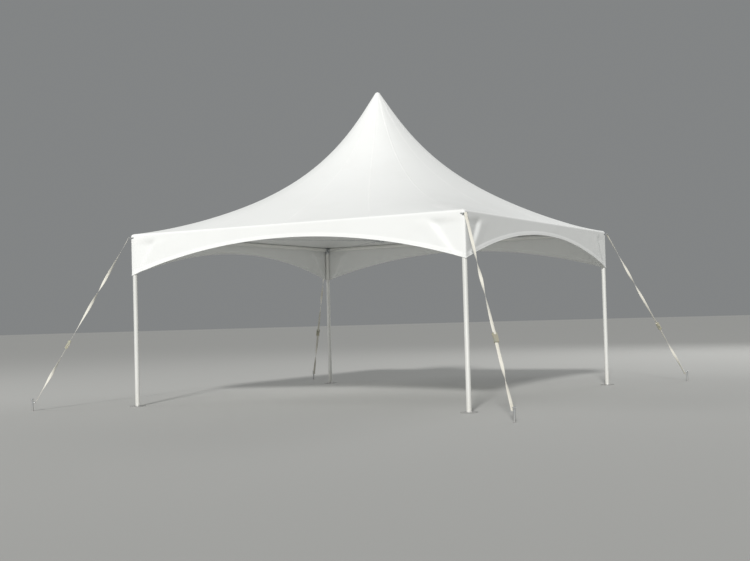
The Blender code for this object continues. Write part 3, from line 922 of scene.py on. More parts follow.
def valanceRipple(side, along, height):
    v = canopyValues
    corner = halfSide - abs(along)
    wave = noise.noise((along * 2.1 + 9 * side, 3.7 * side, height * 0.6)) * v["ripple"]
    wave += noise.noise((along * 6.5, 5.1 * side, height * 1.5)) * v["ripple"] * 0.22
    reach = math.hypot(corner, beamHeight - height)
    bearing = math.atan2(beamHeight - height, max(corner, 0.001))
    fan = math.sin(11 * bearing + 2 * side) * math.exp(-reach / v["foldReach"]) * v["fold"]
    loose = easeDown(height, v["rippleTop"]) * smoothStep(corner, *v["rippleCorner"])
    return (wave + fan) * loose + cornerCrease(side, along, height)


def roofRipple(phi, u, plan):
    v = canopyValues
    corner = complex(math.copysign(halfSide, plan.real), math.copysign(halfSide, plan.imag))
    reach = abs(plan - corner)
    bearing = cmath.phase((plan - corner) / -corner)
    fan = math.sin(13 * bearing + 0.8 * round(phi / quarter)) * v["roofFold"]
    fan *= math.exp(-reach / v["roofFoldReach"]) * smoothStep(reach, 0.03, 0.30)
    swell = noise.noise((plan.real * 1.1, plan.imag * 1.1, 4.0)) * v["roofSwell"]
    crown = math.sin(16 * phi) * v["crownFold"]
    crown *= smoothStep(u, 0.55, 0.90) * (1 - smoothStep(u, 0.93, 1.0))
    return (fan + swell * (1 - u)) * smoothStep(u, 0.0, 0.03) + crown


def coverGrid():
    # rows of points from the hem up to the crown, with a mark for each row
    v = canopyValues
    columns = [{"side": side, "s": s, "phi": quarter * side + math.pi / 4 * s / halfSide,
                "facing": cmath.exp(1j * side * quarter)}
               for side in range(4) for s in coverColumns()]
    rows, marks = [], []

    def addRow(mark, pointAt):
        rows.append([pointAt(column) for column in columns])
        marks.append(mark)

    def standing(plan, height):
        return Vector((plan.real, plan.imag, height))

    def hanging(c, height, proud=0.0):
        out = halfSide + proud + valanceRipple(c["side"], c["s"] - halfSide, height)
        return standing(squarePlace(c["s"], out) * c["facing"], height)

    lift = v["hemBand"] + v["hemStep"]
    for up, proud in ((0.0, v["band"]), (v["hemBand"], v["band"]), (lift, 0.0)):
        addRow("hem", lambda c: hanging(c, hemHeight(c["s"] - halfSide) + up, proud))
    top = beamHeight - v["slotBottom"]
    for k in range(1, v["valanceRows"] + 1):
        def bodyPoint(c):
            low = hemHeight(c["s"] - halfSide) + lift
            return hanging(c, low + (top - low) * k / v["valanceRows"])
        addRow("valance", bodyPoint)
    addRow("slot", lambda c: hanging(c, beamHeight - v["slotTop"]))
    for k in range(v["rollRows"] + 1):
        def rollPoint(c):
            lean = quarter + (eaveSlope(c["phi"]) - quarter) * k / v["rollRows"]
            plan = squarePlace(c["s"], axisOffset + rollRadius * math.sin(lean)) * c["facing"]
            return standing(plan, beamHeight + rollRadius * math.cos(lean))
        addRow("roll", rollPoint)
    for k in range(1, v["slopeRows"] + 1):
        u = (k / v["slopeRows"]) ** v["slopeGrading"]

        def slopePoint(c):
            sharp = complex((c["s"] - halfSide) * axisOffset / halfSide, -axisOffset)
            rounding = (squarePlace(c["s"], axisOffset) - sharp) * c["facing"]
            plan = membranePoint(c["phi"], u) + rounding * math.exp(-v["roundFade"] * u)
            return standing(plan, eaveHeight + roof["rise"] * u)
        addRow("roof", slopePoint)
    centre = eaveHeight + roof["rise"] - roof["crownRadius"] * math.sin(roof["ringAngle"])
    for k in range(1, v["domeRows"]):
        lean = roof["ringAngle"] + (quarter - roof["ringAngle"]) * k / v["domeRows"]
        reach = roof["crownRadius"] * math.cos(lean)
        height = centre + roof["crownRadius"] * math.sin(lean)
        addRow("dome", lambda c: standing(cmath.rect(reach, c["phi"] - 0.75 * math.pi), height))
    return {"rows": rows, "marks": marks, "columns": columns, "slotRow": marks.index("slot"),
            "normals": rowNormals(rows)}


def rowNormals(rows):
    count = len(rows[0])
    normals = []
    for r, row in enumerate(rows):
        below, above = rows[max(r - 1, 0)], rows[min(r + 1, len(rows) - 1)]
        normals.append([(row[(i + 1) % count] - row[i - 1]).cross(above[i] - below[i]).normalized()
                        for i in range(count)])
    return normals


def rippleRoof(cover):
    v = canopyValues
    rows = cover["rows"]
    first = cover["marks"].index("roof")
    for k in range(v["slopeRows"]):
        u = ((k + 1) / v["slopeRows"]) ** v["slopeGrading"]
        line = zip(rows[first + k], cover["normals"][first + k], cover["columns"])
        rows[first + k] = [p + n * roofRipple(c["phi"], u, complex(p.x, p.y)) for p, n, c in line]
    cover["normals"] = rowNormals(rows)


def stripEnds(cover, column):
    # where the strip of cloth right of a column starts and ends, along its side
    columns = cover["columns"]
    return columns[column]["s"], columns[(column + 1) % len(columns)]["s"] or 2 * halfSide


def stripReach(cover, column):
    # how far the strip reaches from the nearest corner
    s, nextS = stripEnds(cover, column)
    return min(nextS, 2 * halfSide - s)


def inSlot(cover, row, column):
    # the strap plate passes through the cover below the beam, at each corner
    near = stripReach(cover, column) <= canopyValues["slotReach"] + tiny
    return row + 1 == cover["slotRow"] and near


def skinCloth(name, rows, thickness, keep=None, tip=None, mapAt=None):
    # cloth through closed rows of points and up to a tip, thickened inwards; keep(row, column)
    # says which faces there are, and without mapAt(column, step, row) it gets a plain map
    bm = bmesh.new()
    clothMap = bm.loops.layers.uv.new("cloth") if mapAt else None
    verts = [[bm.verts.new(p) for p in row] for row in rows]
    count = len(rows[0])
    if tip:
        verts.append([bm.verts.new(tip)] * count)
    for r, (low, high) in enumerate(zip(verts, verts[1:])):
        for i in range(count):
            if keep and not keep(r, i):
                continue
            j = (i + 1) % count
            face = bm.faces.new(tuple(dict.fromkeys((low[i], low[j], high[j], high[i]))))
            for corner, (step, up) in zip(face.loops, ((0, 0), (1, 0), (1, 1), (0, 1))):
                if mapAt:
                    corner[clothMap].uv = mapAt(i, step, r + up)
    bmesh.ops.delete(bm, geom=[vert for vert in bm.verts if not vert.link_faces], context="VERTS")
    piece = addModifier(linkMesh(bm, name), "SOLIDIFY", thickness=thickness, offset=-1)
    if not mapAt:
        addClothMap(piece)
    return piece


def addClothMap(piece):
    # a plain map in metres for the small welded pieces
    layer = piece.data.uv_layers.new(name="cloth")
    for loop in piece.data.loops:
        p = piece.data.vertices[loop.vertex_index].co
        layer.data[loop.index].uv = (p.x + p.y, p.z)


def finishCloth(piece, angle, material, nodes=()):
    return finishPiece(smooth(piece, angle), piece.name, material, nodes)


def makeCanopy(cover):
    rows, columns = cover["rows"], cover["columns"]
    middle = len(columns) // 8
    down = [0.0]
    for low, high in zip(rows, rows[1:]):
        down.append(down[-1] + (high[middle] - low[middle]).length)
    down.append(down[-1])

    def mapAt(column, step, row):
        # metres round the tent and up the cloth
        return columns[column]["side"] * 2 * halfSide + stripEnds(cover, column)[step], down[row]

    piece = skinCloth("canopyCover", rows, canopyValues["cloth"],
                      lambda r, i: not inSlot(cover, r, i), (0, 0, peakHeight), mapAt)
    nodes = [f"{kind}_{side}" for kind in ("roof_panel", "valance") for side in sides]
    return finishCloth(piece, 45, canopyCloth, nodes + ["roof_crown"])


def walkRow(row, column, distance):
    # a place on the row's line, this far along it from one of its points
    step = 1 if distance > 0 else -1
    left = abs(distance)
    here = column
    while True:
        after = (here + step) % len(row)
        span = (row[after] - row[here]).length
        if span >= left:
            return row[here] + (row[after] - row[here]) * (left / span)
        left -= span
        here = after


def seamStrip(cover, column, firstRow, lastRow, inside=False):
    v = canopyValues
    half, low, high = v["seamHalf"], -0.0004, v["sink"]
    section = [(-half, low), (-half, high), (-half + 0.002, v["band"]), (half - 0.002, v["band"]),
               (half, high), (half, low)]
    if inside:
        section = [(across, -v["cloth"] - lift) for across, lift in reversed(section)]
    loops = []
    for r in range(firstRow, lastRow + 1):
        row, normal = cover["rows"][r], cover["normals"][r][column]
        loops.append([walkRow(row, column, across) + normal * lift for across, lift in section])
    return loft(loops, "seam")


def makeSeams(cover):
    # welded seams of the roof panels, hips included, from the eave roll up under the crown patch,
    # and the same overlap seen on the cover's inside
    v = canopyValues
    marks = cover["marks"]
    under = v["crownPatch"] - v["seamUnder"]
    last = max(r for r, mark in enumerate(marks)
               if mark == "roof" and cover["rows"][r][0].xy.length > under)
    strips = []
    for i, column in enumerate(cover["columns"]):
        s = column["s"]
        if s == 0 or any(abs(s - seam) < tiny for seam in v["seams"]):
            start = marks.index("roll") + (v["hipStart"] if s == 0 else 0)
            strips.append(seamStrip(cover, i, start, last))
            strips.append(seamStrip(cover, i, marks.index("roof"), last, True))
    seams = joinAll(strips, "canopySeams")
    addClothMap(seams)
    return finishCloth(seams, 30, weldedCloth)


def makeCrownPatch(cover):
    v = canopyValues
    rows, normals = cover["rows"], cover["normals"]
    first = next(r for r, mark in enumerate(cover["marks"])
                 if mark == "roof" and rows[r][0].xy.length < v["crownPatch"])
    proud = v["band"] + 2 * v["sink"]
    lifted = [[p + n * (proud if r > first else v["sink"]) for p, n in zip(rows[r], normals[r])]
              for r in range(first, len(rows))]
    piece = skinCloth("crownPatch", lifted, v["band"], tip=(0, 0, peakHeight + proud))
    return finishCloth(piece, 40, weldedCloth)


def makeCornerPatches(cover):
    # doubled cloth welded round each strap slot, down the valance and up the roof
    v = canopyValues
    below, above = v["cornerRows"]
    first, last = cover["slotRow"] - below, cover["slotRow"] + v["rollRows"] + above
    patchReach = max(c["s"] for c in cover["columns"] if c["s"] < v["cornerPatch"])

    def lifted(r, i):
        s = cover["columns"][i]["s"]
        rim = r in (first, last) or abs(min(s, 2 * halfSide - s) - patchReach) < tiny
        return cover["rows"][r][i] + cover["normals"][r][i] * (v["sink"] if rim else v["band"])

    rows = [[lifted(r, i) for i in range(len(cover["columns"]))] for r in range(first, last + 1)]
    piece = skinCloth("cornerPatches", rows, v["cornerCloth"], lambda r, i: (
        stripReach(cover, i) <= patchReach + tiny and not inSlot(cover, first + r, i)))
    return finishCloth(piece, 45, weldedCloth)


def makeHemCord(cover):
    # the cord welded into the arched hem, one closed ring round the tent
    v = canopyValues
    row, normals = cover["rows"][0], cover["normals"][0]
    loops = []
    for i, (p, normal) in enumerate(zip(row, normals)):
        along = (row[(i + 1) % len(row)] - row[i - 1]).normalized()
        outward = (normal - along * normal.dot(along)).normalized()
        middle = p - outward * v["cloth"] / 2
        loops.append(circleLoop(middle, outward, along.cross(outward), v["hemCord"], 10))
    piece = loft(loops, "hemCord", closed=True)
    addClothMap(piece)
    return finishCloth(piece, 60, weldedCloth)


cover = coverGrid()
rippleRoof(cover)
canopy = makeCanopy(cover)
trims = [make(cover) for make in (makeSeams, makeCrownPatch, makeCornerPatches, makeHemCord)]
print("canopy is made:", len(canopy.data.polygons), "faces")


# Frame tubes

frameValues = {
    "wall": 0.003,
    "segments": 48,
    "rim": 0.0008,            # rounding of the tubes' cut ends
    "buttonRadius": 0.0042,
    "buttonRise": 0.0026,
    "legButtons": (0.055, 0.075),   # above the foot and below the top
    "beamButton": 0.07,       # from either end
    "mastButton": 0.055,
}


def makeTube(name, start, end, radius, buttons):
    v = frameValues
    c = v["rim"]
    length = (Vector(end) - Vector(start)).length
    inner = radius - v["wall"]
    profile = [(inner, c), (inner + c, 0), (radius - c, 0), (radius, c), (radius, length - c),
               (radius - c, length), (inner + c, length), (inner, length - c)]
    parts = [spinProfile(profile, v["segments"], start, end)]
    return smooth(joinAll(parts + [addButton(*button) for button in buttons], name), 30)


def addButton(place, direction):
    # spring button that locks a tube on its spigot, in its drilled hole
    r, rise = frameValues["buttonRadius"], frameValues["buttonRise"]
    place, direction = Vector(place), Vector(direction).normalized()
    profile = [(0, rise), (r * 0.55, rise * 0.86), (r * 0.9, rise * 0.4), (r, -0.002),
               (r * 1.18, -0.0006), (r * 1.28, 0.0003), (r * 1.45, -0.0008), (r * 1.4, -0.003),
               (0, -0.003)]
    return spinProfile(profile, 16, place, place + direction)


def makeLegs():
    low, high = legLow[2], legHigh[2]
    foot, top = frameValues["legButtons"]
    buttons = [((-tubeRadius, 0, z), (-1, 0, 0)) for z in (high - top, low + foot)]
    leg = makeTube("leg", (0, 0, low), (0, 0, high), tubeRadius, buttons)
    toCorners(leg, "leg", legMetal, "leg")


def makeBeams():
    half, y, z = beamHigh[0], -axisOffset, beamHeight
    reach = half - frameValues["beamButton"]
    buttons = [((hand * reach, y, z - tubeRadius), (0, 0, -1)) for hand in (-1, 1)]
    beam = makeTube("beam", (-half, y, z), (half, y, z), tubeRadius, buttons)
    for name, turns in sides.items():
        twin = copyTo(beam, Matrix.Rotation(turns * quarter, 4, "Z"))
        node = "eave_beam_" + name
        finishPiece(twin, camel(node), beamMetal[turns % 2], [node])
    bpy.data.objects.remove(beam, do_unlink=True)


def makeMast():
    radius = (mastHigh[0] - mastLow[0]) / 2
    low, high = mastLow[2], mastHigh[2]
    button = ((0, -radius, low + frameValues["mastButton"]), (0, -1, 0))
    mast = makeTube("mastTube", (0, 0, low), (0, 0, high), radius, [button])
    finishPiece(mast, "mastTube", legMetal, ["mast"])


makeLegs()
makeBeams()
makeMast()
print("frame tubes are made")


# Corner hardware. In a corner's own frame the leg's axis is at x = y = 0.

fittingValues = {
    "hubArm": 0.075,
    "hubBall": 0.0322,
    "hubWeld": 0.0019,        # rod of the bead round the end of each arm
    "spigot": 0.0267,
    "spigotLength": 0.150,
    "plateDrop": 0.019,       # beam axis to the strap plate's middle
    "plateHalf": 0.0345,
    "plateEnd": 0.0818,
    "plateThickness": 0.008,
    "plateCorner": 0.009,
    "slot": (0.0578, 0.0698),
    "slotHalf": 0.0225,
    "slotCorner": 0.0055,
    "lugHole": (-0.105, 0.0, -0.028),
    "lugHalf": 0.018,
    "lugThickness": 0.008,
    "lugHoleRadius": 0.0045,
    "weld": 0.0024,
    "boltPlaces": (0.054, 0.060),   # along each beam, and down the leg
}


def makeLug(root, hole):
    # an upright plate in the diagonal plane, rounded round its pin hole
    v = fittingValues
    half, thick = v["lugHalf"], v["lugThickness"] / 2
    nose = hole[0] + math.copysign(half, hole[0] - root)
    low, high = min(root, nose), max(root, nose)
    lug = addBox((low, -thick, hole[2] - half), (high, thick, hole[2] + half))
    roundEdges(lug, 1, [nose], half * 0.97, 6)
    pinHole = addRod((hole[0], -0.02, hole[2]), (hole[0], 0.02, hole[2]), v["lugHoleRadius"])
    return cutAway(lug, [pinHole], 0.0006)


def lugWelds(x, low, high, out, radius):
    # a bead on each side of a lug, where it meets what carries it
    beads = []
    for hand in (-1, 1):
        y = hand * (fittingValues["lugThickness"] / 2 + out)
        beads.append(sweepRod(evenly((x, y, low), (x, y, high), 9), radius, 8, swell=0.12))
    return beads


def makeStrapPlate(height):
    v = fittingValues
    half, wide, end = v["plateThickness"] / 2, v["plateHalf"], v["plateEnd"]
    near, far = v["slot"]
    plate = addBox((0.004, -wide, height - half), (end, wide, height + half))
    roundEdges(plate, 2, [end], v["plateCorner"], 5)
    slot = addBox((near, -v["slotHalf"], height - 0.02), (far, v["slotHalf"], height + 0.02))
    roundEdges(slot, 2, [near, far], v["slotCorner"], 4)
    return cutAway(plate, [slot], 0.0010)


def addSpigot(tip, foot, length):
    r = fittingValues["spigot"]
    profile = [(0, 0), (r - 0.004, 0), (r, 0.010), (r, length), (0, length)]
    return spinProfile(profile, 32, tip, foot)


def makeCornerFittings():
    v = fittingValues
    centre = Vector((0, 0, beamHeight))
    down = Vector((0, 0, -1))
    beams = [Vector((-1, 1, 0)).normalized(), Vector((-1, -1, 0)).normalized()]
    ways = beams + [down]
    hub = addBall(centre, v["hubBall"], 40)
    arms = [addRod(centre, centre + v["hubArm"] * way, tubeRadius, 40) for way in ways]
    parts = [bevelEdges(combine(hub, arms), 0.0012)]
    for way in ways:
        tip = centre + (v["hubArm"] + v["spigotLength"]) * way
        parts.append(addSpigot(tip, centre + v["hubArm"] * way, v["spigotLength"] + 0.01))
        weldPlace = centre + (v["hubArm"] - 0.0035) * way
        parts.append(addRing(weldPlace, way, tubeRadius - 0.0002, v["hubWeld"], 40))
    height = beamHeight - v["plateDrop"]
    hole = (v["lugHole"][0], 0.0, beamHeight + v["lugHole"][2])
    parts += [makeStrapPlate(height), makeLug(-0.015, hole)]
    low = hole[2] - v["lugHalf"]
    parts += lugWelds(-0.0315, low, low + 0.036, 0.001, v["weld"])
    # two more beads under the strap plate, where it leaves the hub
    for hand in (-1, 1):
        inner, outer = ((0.0335, hand * y, height - 0.0045) for y in (0.004, 0.0238))
        parts.append(sweepRod(evenly(inner, outer, 9), 0.8 * v["weld"], 8, swell=0.15))
    along, below = v["boltPlaces"]
    parts += [addBolt(centre + along * way + tubeRadius * down, down) for way in beams]
    parts.append(addBolt((-tubeRadius, 0, beamHeight - below), (-1, 0, 0)))
    fitting = smoothHard(joinAll(parts, "cornerFitting"))
    toCorners(fitting, "cornerFitting", fittingZinc, "corner_fitting")


basePlateValues = {
    "half": 0.080,
    "thickness": 0.008,
    "corner": 0.012,
    "pegHole": 0.009,
    "pegPlace": 0.054,
    "spigotTop": 0.118,
    "weld": 0.0030,
    "weldPoints": 72,
}


def makeBasePlates():
    v = basePlateValues
    half, peg, top = v["half"], v["pegPlace"], v["spigotTop"]
    plate = addBox((-half, -half, 0), (half, half, v["thickness"]))
    roundEdges(plate, 2, [-half, half], v["corner"], 5)
    holes = [addRod((x, -x, -0.01), (x, -x, 0.02), v["pegHole"], 28) for x in (-peg, peg)]
    parts = [cutAway(plate, holes, 0.0010), addSpigot((0, 0, top), (0, 0, 0), top - 0.004)]
    bead = circleLoop(Vector((0, 0, v["thickness"] + 0.0005)), Vector((1, 0, 0)), Vector((0, 1, 0)),
                      tubeRadius + 0.0022, v["weldPoints"])
    parts.append(sweepRod(bead, v["weld"], 8, closed=True, swell=0.08, beat=3))
    foot = smoothHard(joinAll(parts, "basePlate"))
    toCorners(foot, "basePlate", groundZinc, "base_plate", math.pi / 4)


# Guy straps: webbing from the strap plate to the ratchet, and from there to the stake

strapValues = {
    "width": 0.035,
    "thickness": 0.0017,
    "edge": 0.0007,
    "step": 0.02,             # between the points of a straight run
    "bar": (0.0758, 0.0, -0.019),     # x, y and height under the beam's axis
    "stakeBar": (1.3235, 0.0, 0.112),
    "ratchetShare": 0.655,
    "pinOffset": 0.047,
    "barLoop": 0.0083,        # radius of the webbing's loops,
    "barMeet": 0.036,         # and how far from the bar or pin their two sides meet
    "pinLoop": 0.0062,
    "pinMeet": 0.030,
    "stakeLoop": 0.0050,
    "stakeMeet": 0.026,
    "overlap": 0.115,
    "spool": (0.0078, 0.0130),        # webbing wound on the mandrel, from and to this radius
    "spoolTurns": 2.4,
    "spoolLeave": 0.060,      # where the webbing leaves its straight line for the spool
    "spoolSteps": 64,
    "upperTwist": (0.18, 0.12, 1),    # flat for this long at the top and the bottom, and turns
    "lowerTwist": (0.11, 0.12, 0.5),
    "stitch": 0.0042,
    "thread": 0.0005,
}
strapTop = Vector((strapValues["bar"][0], 0, beamHeight + strapValues["bar"][2]))
strapFoot = Vector(strapValues["stakeBar"])
strapRun = strapFoot - strapTop
strapWay = strapRun.normalized()
strapOut = strapWay.cross(Vector((0, 1, 0)))
ratchetMiddle = strapTop + strapRun * strapValues["ratchetShare"]
upperPin = ratchetMiddle - strapWay * strapValues["pinOffset"]
lowerPin = ratchetMiddle + strapWay * strapValues["pinOffset"]


def arcPath(middle, radius, first, last, steps):
    angles = [first + (last - first) * k / steps for k in range(steps + 1)]
    return [(middle + radius * math.cos(a), radius * math.sin(a)) for a in angles]


def straightPath(start, end):
    return evenly(start, end, max(int(math.dist(start, end) / strapValues["step"]), 2))


def easedShare(value, low, high):
    # an even run from 0 to 1 with soft ends
    share = min(max((value - low) / (high - low), 0), 1)
    return share - math.sin(turn * share) / turn * 0.6


def onStrap(origin, along, outward, y):
    return origin + strapWay * along + strapOut * outward + Vector((0, y, 0))


def ribbon(path, origin, name, length, twist, closed=False):
    # webbing along a path of (along, outward) points in the strap's plane, twisted about the
    # strap's line
    v = strapValues
    flatTop, flatFoot, turns = twist
    half, wide, edge = v["thickness"] / 2, v["width"] / 2, v["edge"]
    right = [(half, -wide + edge), (half, 0), (half, wide - edge), (half * 0.35, wide),
             (-half * 0.35, wide)]
    section = right + [(-lift, -y) for lift, y in right]
    loops, spots = [], []
    travelled = 0.0
    for i, here in enumerate(path):
        before, after = neighbours(path, i, closed)
        along = (Vector(after) - Vector(before)).normalized()
        across = Vector((-along.y, along.x))
        travelled += math.dist(here, path[i - 1]) if i else 0
        loop = []
        for lift, y in section:
            flat = Vector(here) + across * lift
            angle = turn * turns * easedShare(flat.x, flatTop, length - flatFoot)
            swung = Vector((flat.y, y, 0)) @ Matrix.Rotation(angle, 3, "Z")
            loop.append(onStrap(origin, flat.x, swung.x, swung.y))
            spots.append((travelled, y))
        loops.append(loop)
    piece = loft(loops, name, closed)
    layer = piece.data.uv_layers.new(name="strap")
    whole = travelled + math.dist(path[0], path[-1])
    for face in piece.data.polygons:
        # the faces that close the ring run on to the strap's whole length
        closes = closed and max(face.vertices) - min(face.vertices) > 2 * len(section)
        for corner, index in zip(face.loop_indices, face.vertices):
            along, y = spots[index]
            layer.data[corner].uv = (whole if closes and index < len(section) else along, y)
    return smooth(piece, 40)


def stitchPatch(origin, first, last, lift):
    # a sewn rectangle with rows along it, each stitch a small thread of its own
    wide = strapValues["width"] / 2 - 0.004
    lines = [((t, -wide), (t, wide)) for t in (first, last)]
    lines += [((first, wide * share), (last, wide * share)) for share in (-1, -0.5, 0, 0.5, 1)]
    stitches = []
    for (t0, y0), (t1, y1) in lines:
        count = max(int(math.hypot(t1 - t0, y1 - y0) / strapValues["stitch"]), 2)
        for k in range(count):
            points = []
            for share, rise in ((0.12, -0.0003), (0.3, 0.0004), (0.7, 0.0004), (0.88, -0.0003)):
                s = (k + share) / count
                points.append(onStrap(origin, t0 + (t1 - t0) * s, lift + rise, y0 + (y1 - y0) * s))
            stitches.append(sweepRod(points, strapValues["thread"], 5))
    return stitches


def upperPath(length):
    # from the sewn end round the plate's bar, down to the ratchet and round its mandrel
    v = strapValues
    half, bar, meet, leave = v["thickness"] / 2, v["barLoop"], v["barMeet"], v["spoolLeave"]
    path = straightPath((v["overlap"], -half), (meet, -half))
    del path[-2]              # the loop begins less crowded
    lean = math.acos(bar / math.hypot(meet, half))
    path += arcPath(0, bar, -lean, -turn + lean, 18)
    path += straightPath((meet, half), (length - leave, half))
    low, high = v["spool"]
    tangent = math.pi - math.acos(high / leave)
    for k in range(v["spoolSteps"] + 1):
        share = k / v["spoolSteps"]
        angle = tangent - turn * v["spoolTurns"] * share
        radius = high + (low - high) * share
        path.append((length + radius * math.cos(angle), radius * math.sin(angle)))
    return path + [(length, 0)]


def lowerPath(length):
    # a closed ring of webbing round the ratchet's fixed bar and the stake's loop
    v = strapValues
    half = v["thickness"] / 2
    pin, loop, gap = v["pinLoop"] + half, v["stakeLoop"] + half, half + 0.0001
    near, far = v["pinMeet"], length - v["stakeMeet"]
    leanPin = math.acos(pin / math.hypot(near, half))
    leanLoop = math.acos(loop / math.hypot(length - far, half))
    path = straightPath((near, gap), (far, gap))
    path += arcPath(length, loop, math.pi - leanLoop, leanLoop - math.pi, 16)
    path += straightPath((far, -gap), (near, -gap))
    return path + arcPath(0, pin, -leanPin, -turn + leanPin, 16)


def makeStraps():
    v = strapValues
    length = (upperPin - strapTop).length
    upper = ribbon(upperPath(length), strapTop, "guyStrap", length, v["upperTwist"])
    length = (strapFoot - lowerPin).length
    lower = ribbon(lowerPath(length), lowerPin, "stakeStrap", length, v["lowerTwist"], closed=True)
    lift = v["thickness"] + 0.0001
    stitches = stitchPatch(strapTop, 0.044, v["overlap"] - 0.006, v["thickness"])
    stitches += stitchPatch(lowerPin, 0.036, 0.085, lift)
    stitches += stitchPatch(lowerPin, length - 0.085, length - 0.034, lift)
    sewing = smooth(joinAll(stitches, "strapStitching"), 60)
    toCorners(upper, "guyStrap", strapWebbing, "guy_strap")
    toCorners(lower, "stakeStrap", strapWebbing, "stake_strap")
    toCorners(sewing, "strapStitching", stitchThread)


# Ratchets. In a ratchet's own frame X runs down the strap and Z away from the tent.

ratchetValues = {
    "cheek": (0.0193, 0.0215),        # inner and outer face, from the strap's middle
    "wheel": (0.0217, 0.0241),
    "flange": (0.0243, 0.0263),
    "half": 0.065,
    "height": 0.0130,
    "window": ((-0.020, -0.0055), (0.022, 0.0045)),    # x and z of its low and high corner
    "teeth": 14,
    "wheelRadius": 0.0150,
    "toothRoot": 0.80,        # share of the wheel's radius
    "hub": 0.0098,
    "handle": (-0.060, 0.054),
    "handleTop": 0.0225,
    "handleFoot": -0.0095,
    "mouthEnd": -0.034,
    "mandrel": 0.0068,
    "bar": 0.0058,
    "floor": (-0.030, 0.042),
    "pawl": ((-0.031, 0.0062), (-0.006, 0.0086)),
    "spring": (0.0036, 0.0006),       # radius of the coil and of its wire
    "springTurns": 7,
}


def crossBox(low, high, reach):
    # a box over the ratchet's whole width, from x and z of its corners
    return addBox((low[0], -reach, low[1]), (high[0], reach, high[1]))


def crossRod(x, reach, radius, segments=24):
    return addRod((x, -reach, 0), (x, reach, 0), radius, segments)


def makeWheel(inner, outer, middle):
    # toothed wheel: every other rim point is drawn in
    v = ratchetValues
    rim = []
    for k in range(v["teeth"]):
        for step, share in ((2 * k + 0.55, 1.0), (2 * k + 1, v["toothRoot"])):
            angle, radius = turn * step / (2 * v["teeth"]), v["wheelRadius"] * share
            rim.append((middle + radius * math.cos(angle), radius * math.sin(angle)))
    wheel = loft([[(x, y, z) for x, z in rim] for y in (inner, outer)], "wheel")
    return bevelEdges(wheel, 0.0003, 1, 60)


def makeCheek(hand):
    # one side of the frame, with its toothed wheel and the hub's cap
    v = ratchetValues
    half, height, spread = v["half"], v["height"], strapValues["pinOffset"]
    near, far = sorted(hand * y for y in v["cheek"])
    cheek = addBox((-half, near, -height), (half, far, height))
    roundEdges(cheek, 1, [-half, half], 0.0120, 6)
    (left, low), (right, high) = v["window"]
    window = addBox((left, near - 0.01, low), (right, far + 0.01, high))
    roundEdges(window, 1, [left, right], 0.0048, 4)
    start, middle, end = (hand * (v["flange"][1] + out) for out in (0, 0.0015, 0.0030))
    return [cutAway(cheek, [window], 0.0005),
            makeWheel(*sorted(hand * y for y in v["wheel"]), -spread),
            addRod((-spread, start, 0), (-spread, end, 0), v["hub"]),
            addRing((-spread, middle, 0), (0, 1, 0), v["hub"], 0.0014, 24)]


def makeHandle():
    # closed handle: a channel over the frame, cut away towards the grip
    v = ratchetValues
    inner, side = v["flange"]
    start, end = v["handle"]
    foot, top, mouthEnd = v["handleFoot"], v["handleTop"], v["mouthEnd"]
    handle = crossBox((start, foot), (end, top), side)
    inside = crossBox((-0.075, -0.03), (0.075, top - 0.0022), inner)
    mouth = crossBox((-0.100, 0.010), (mouthEnd, 0.030), 0.013)
    roundEdges(mouth, 2, [mouthEnd], 0.010, 5)
    startEdit(combine(handle, [inside, mouth], "DIFFERENCE"))
    slope = Vector((0.084, 0, 0.0225)).normalized()
    bpy.ops.mesh.bisect(plane_co=(mouthEnd, 0, foot), plane_no=(-slope.z, 0, slope.x),
                        use_fill=True, clear_inner=True)
    endEdit(handle)
    roundEdges(handle, 2, [end], 0.008, 4)
    gripStart, gripEnd = ((end - 0.0005, y, top - 0.0020) for y in (0.006 - side, side - 0.006))
    return [bevelEdges(handle, 0.0008), sweepRod(evenly(gripStart, gripEnd, 12), 0.0034, 14)]


def makeRatchets():
    v = ratchetValues
    spread, webbing = strapValues["pinOffset"], strapValues["width"] / 2 + 0.001
    cheek, foot = v["cheek"][1], -v["height"]
    parts = makeCheek(-1) + makeCheek(1) + makeHandle()
    # mandrel of two half-round bars, with the webbing between them
    mandrel = crossRod(-spread, v["flange"][1] + 0.0042, v["mandrel"], 28)
    slot = crossBox((-spread - 0.02, -0.0013), (-spread + 0.02, 0.0013), webbing)
    parts.append(cutAway(mandrel, [slot], 0.0004, 1))
    # fixed bar with its bolt head and nut, the frame's floor, the pawl and its spring
    parts.append(crossRod(spread, cheek + 0.004, v["bar"]))
    for hand in (-1, 1):
        parts.append(addBolt((spread, hand * cheek, 0), (0, hand, 0), 0.0078, 0.0048))
    start, end = v["floor"]
    floor = crossBox((start, foot - 0.0016), (end, foot + 0.0008), cheek)
    parts.append(bevelEdges(roundEdges(floor, 2, [start, end], 0.004, 3), 0.0005, 1))
    parts.append(bevelEdges(crossBox(*v["pawl"], v["wheel"][1]), 0.0006))
    radius, wire = v["spring"]
    steps = 8 * v["springTurns"]
    coil = [(-0.006 + 0.020 * k / steps, radius * math.cos(turn * k / 8),
             0.0110 + radius * math.sin(turn * k / 8)) for k in range(steps + 1)]
    parts.append(sweepRod(coil, wire, 6))
    ratchet = placeAlong(smoothHard(joinAll(parts, "guyRatchet")), ratchetMiddle, strapWay)
    toCorners(ratchet, "guyRatchet", ratchetSteel, "guy_ratchet")


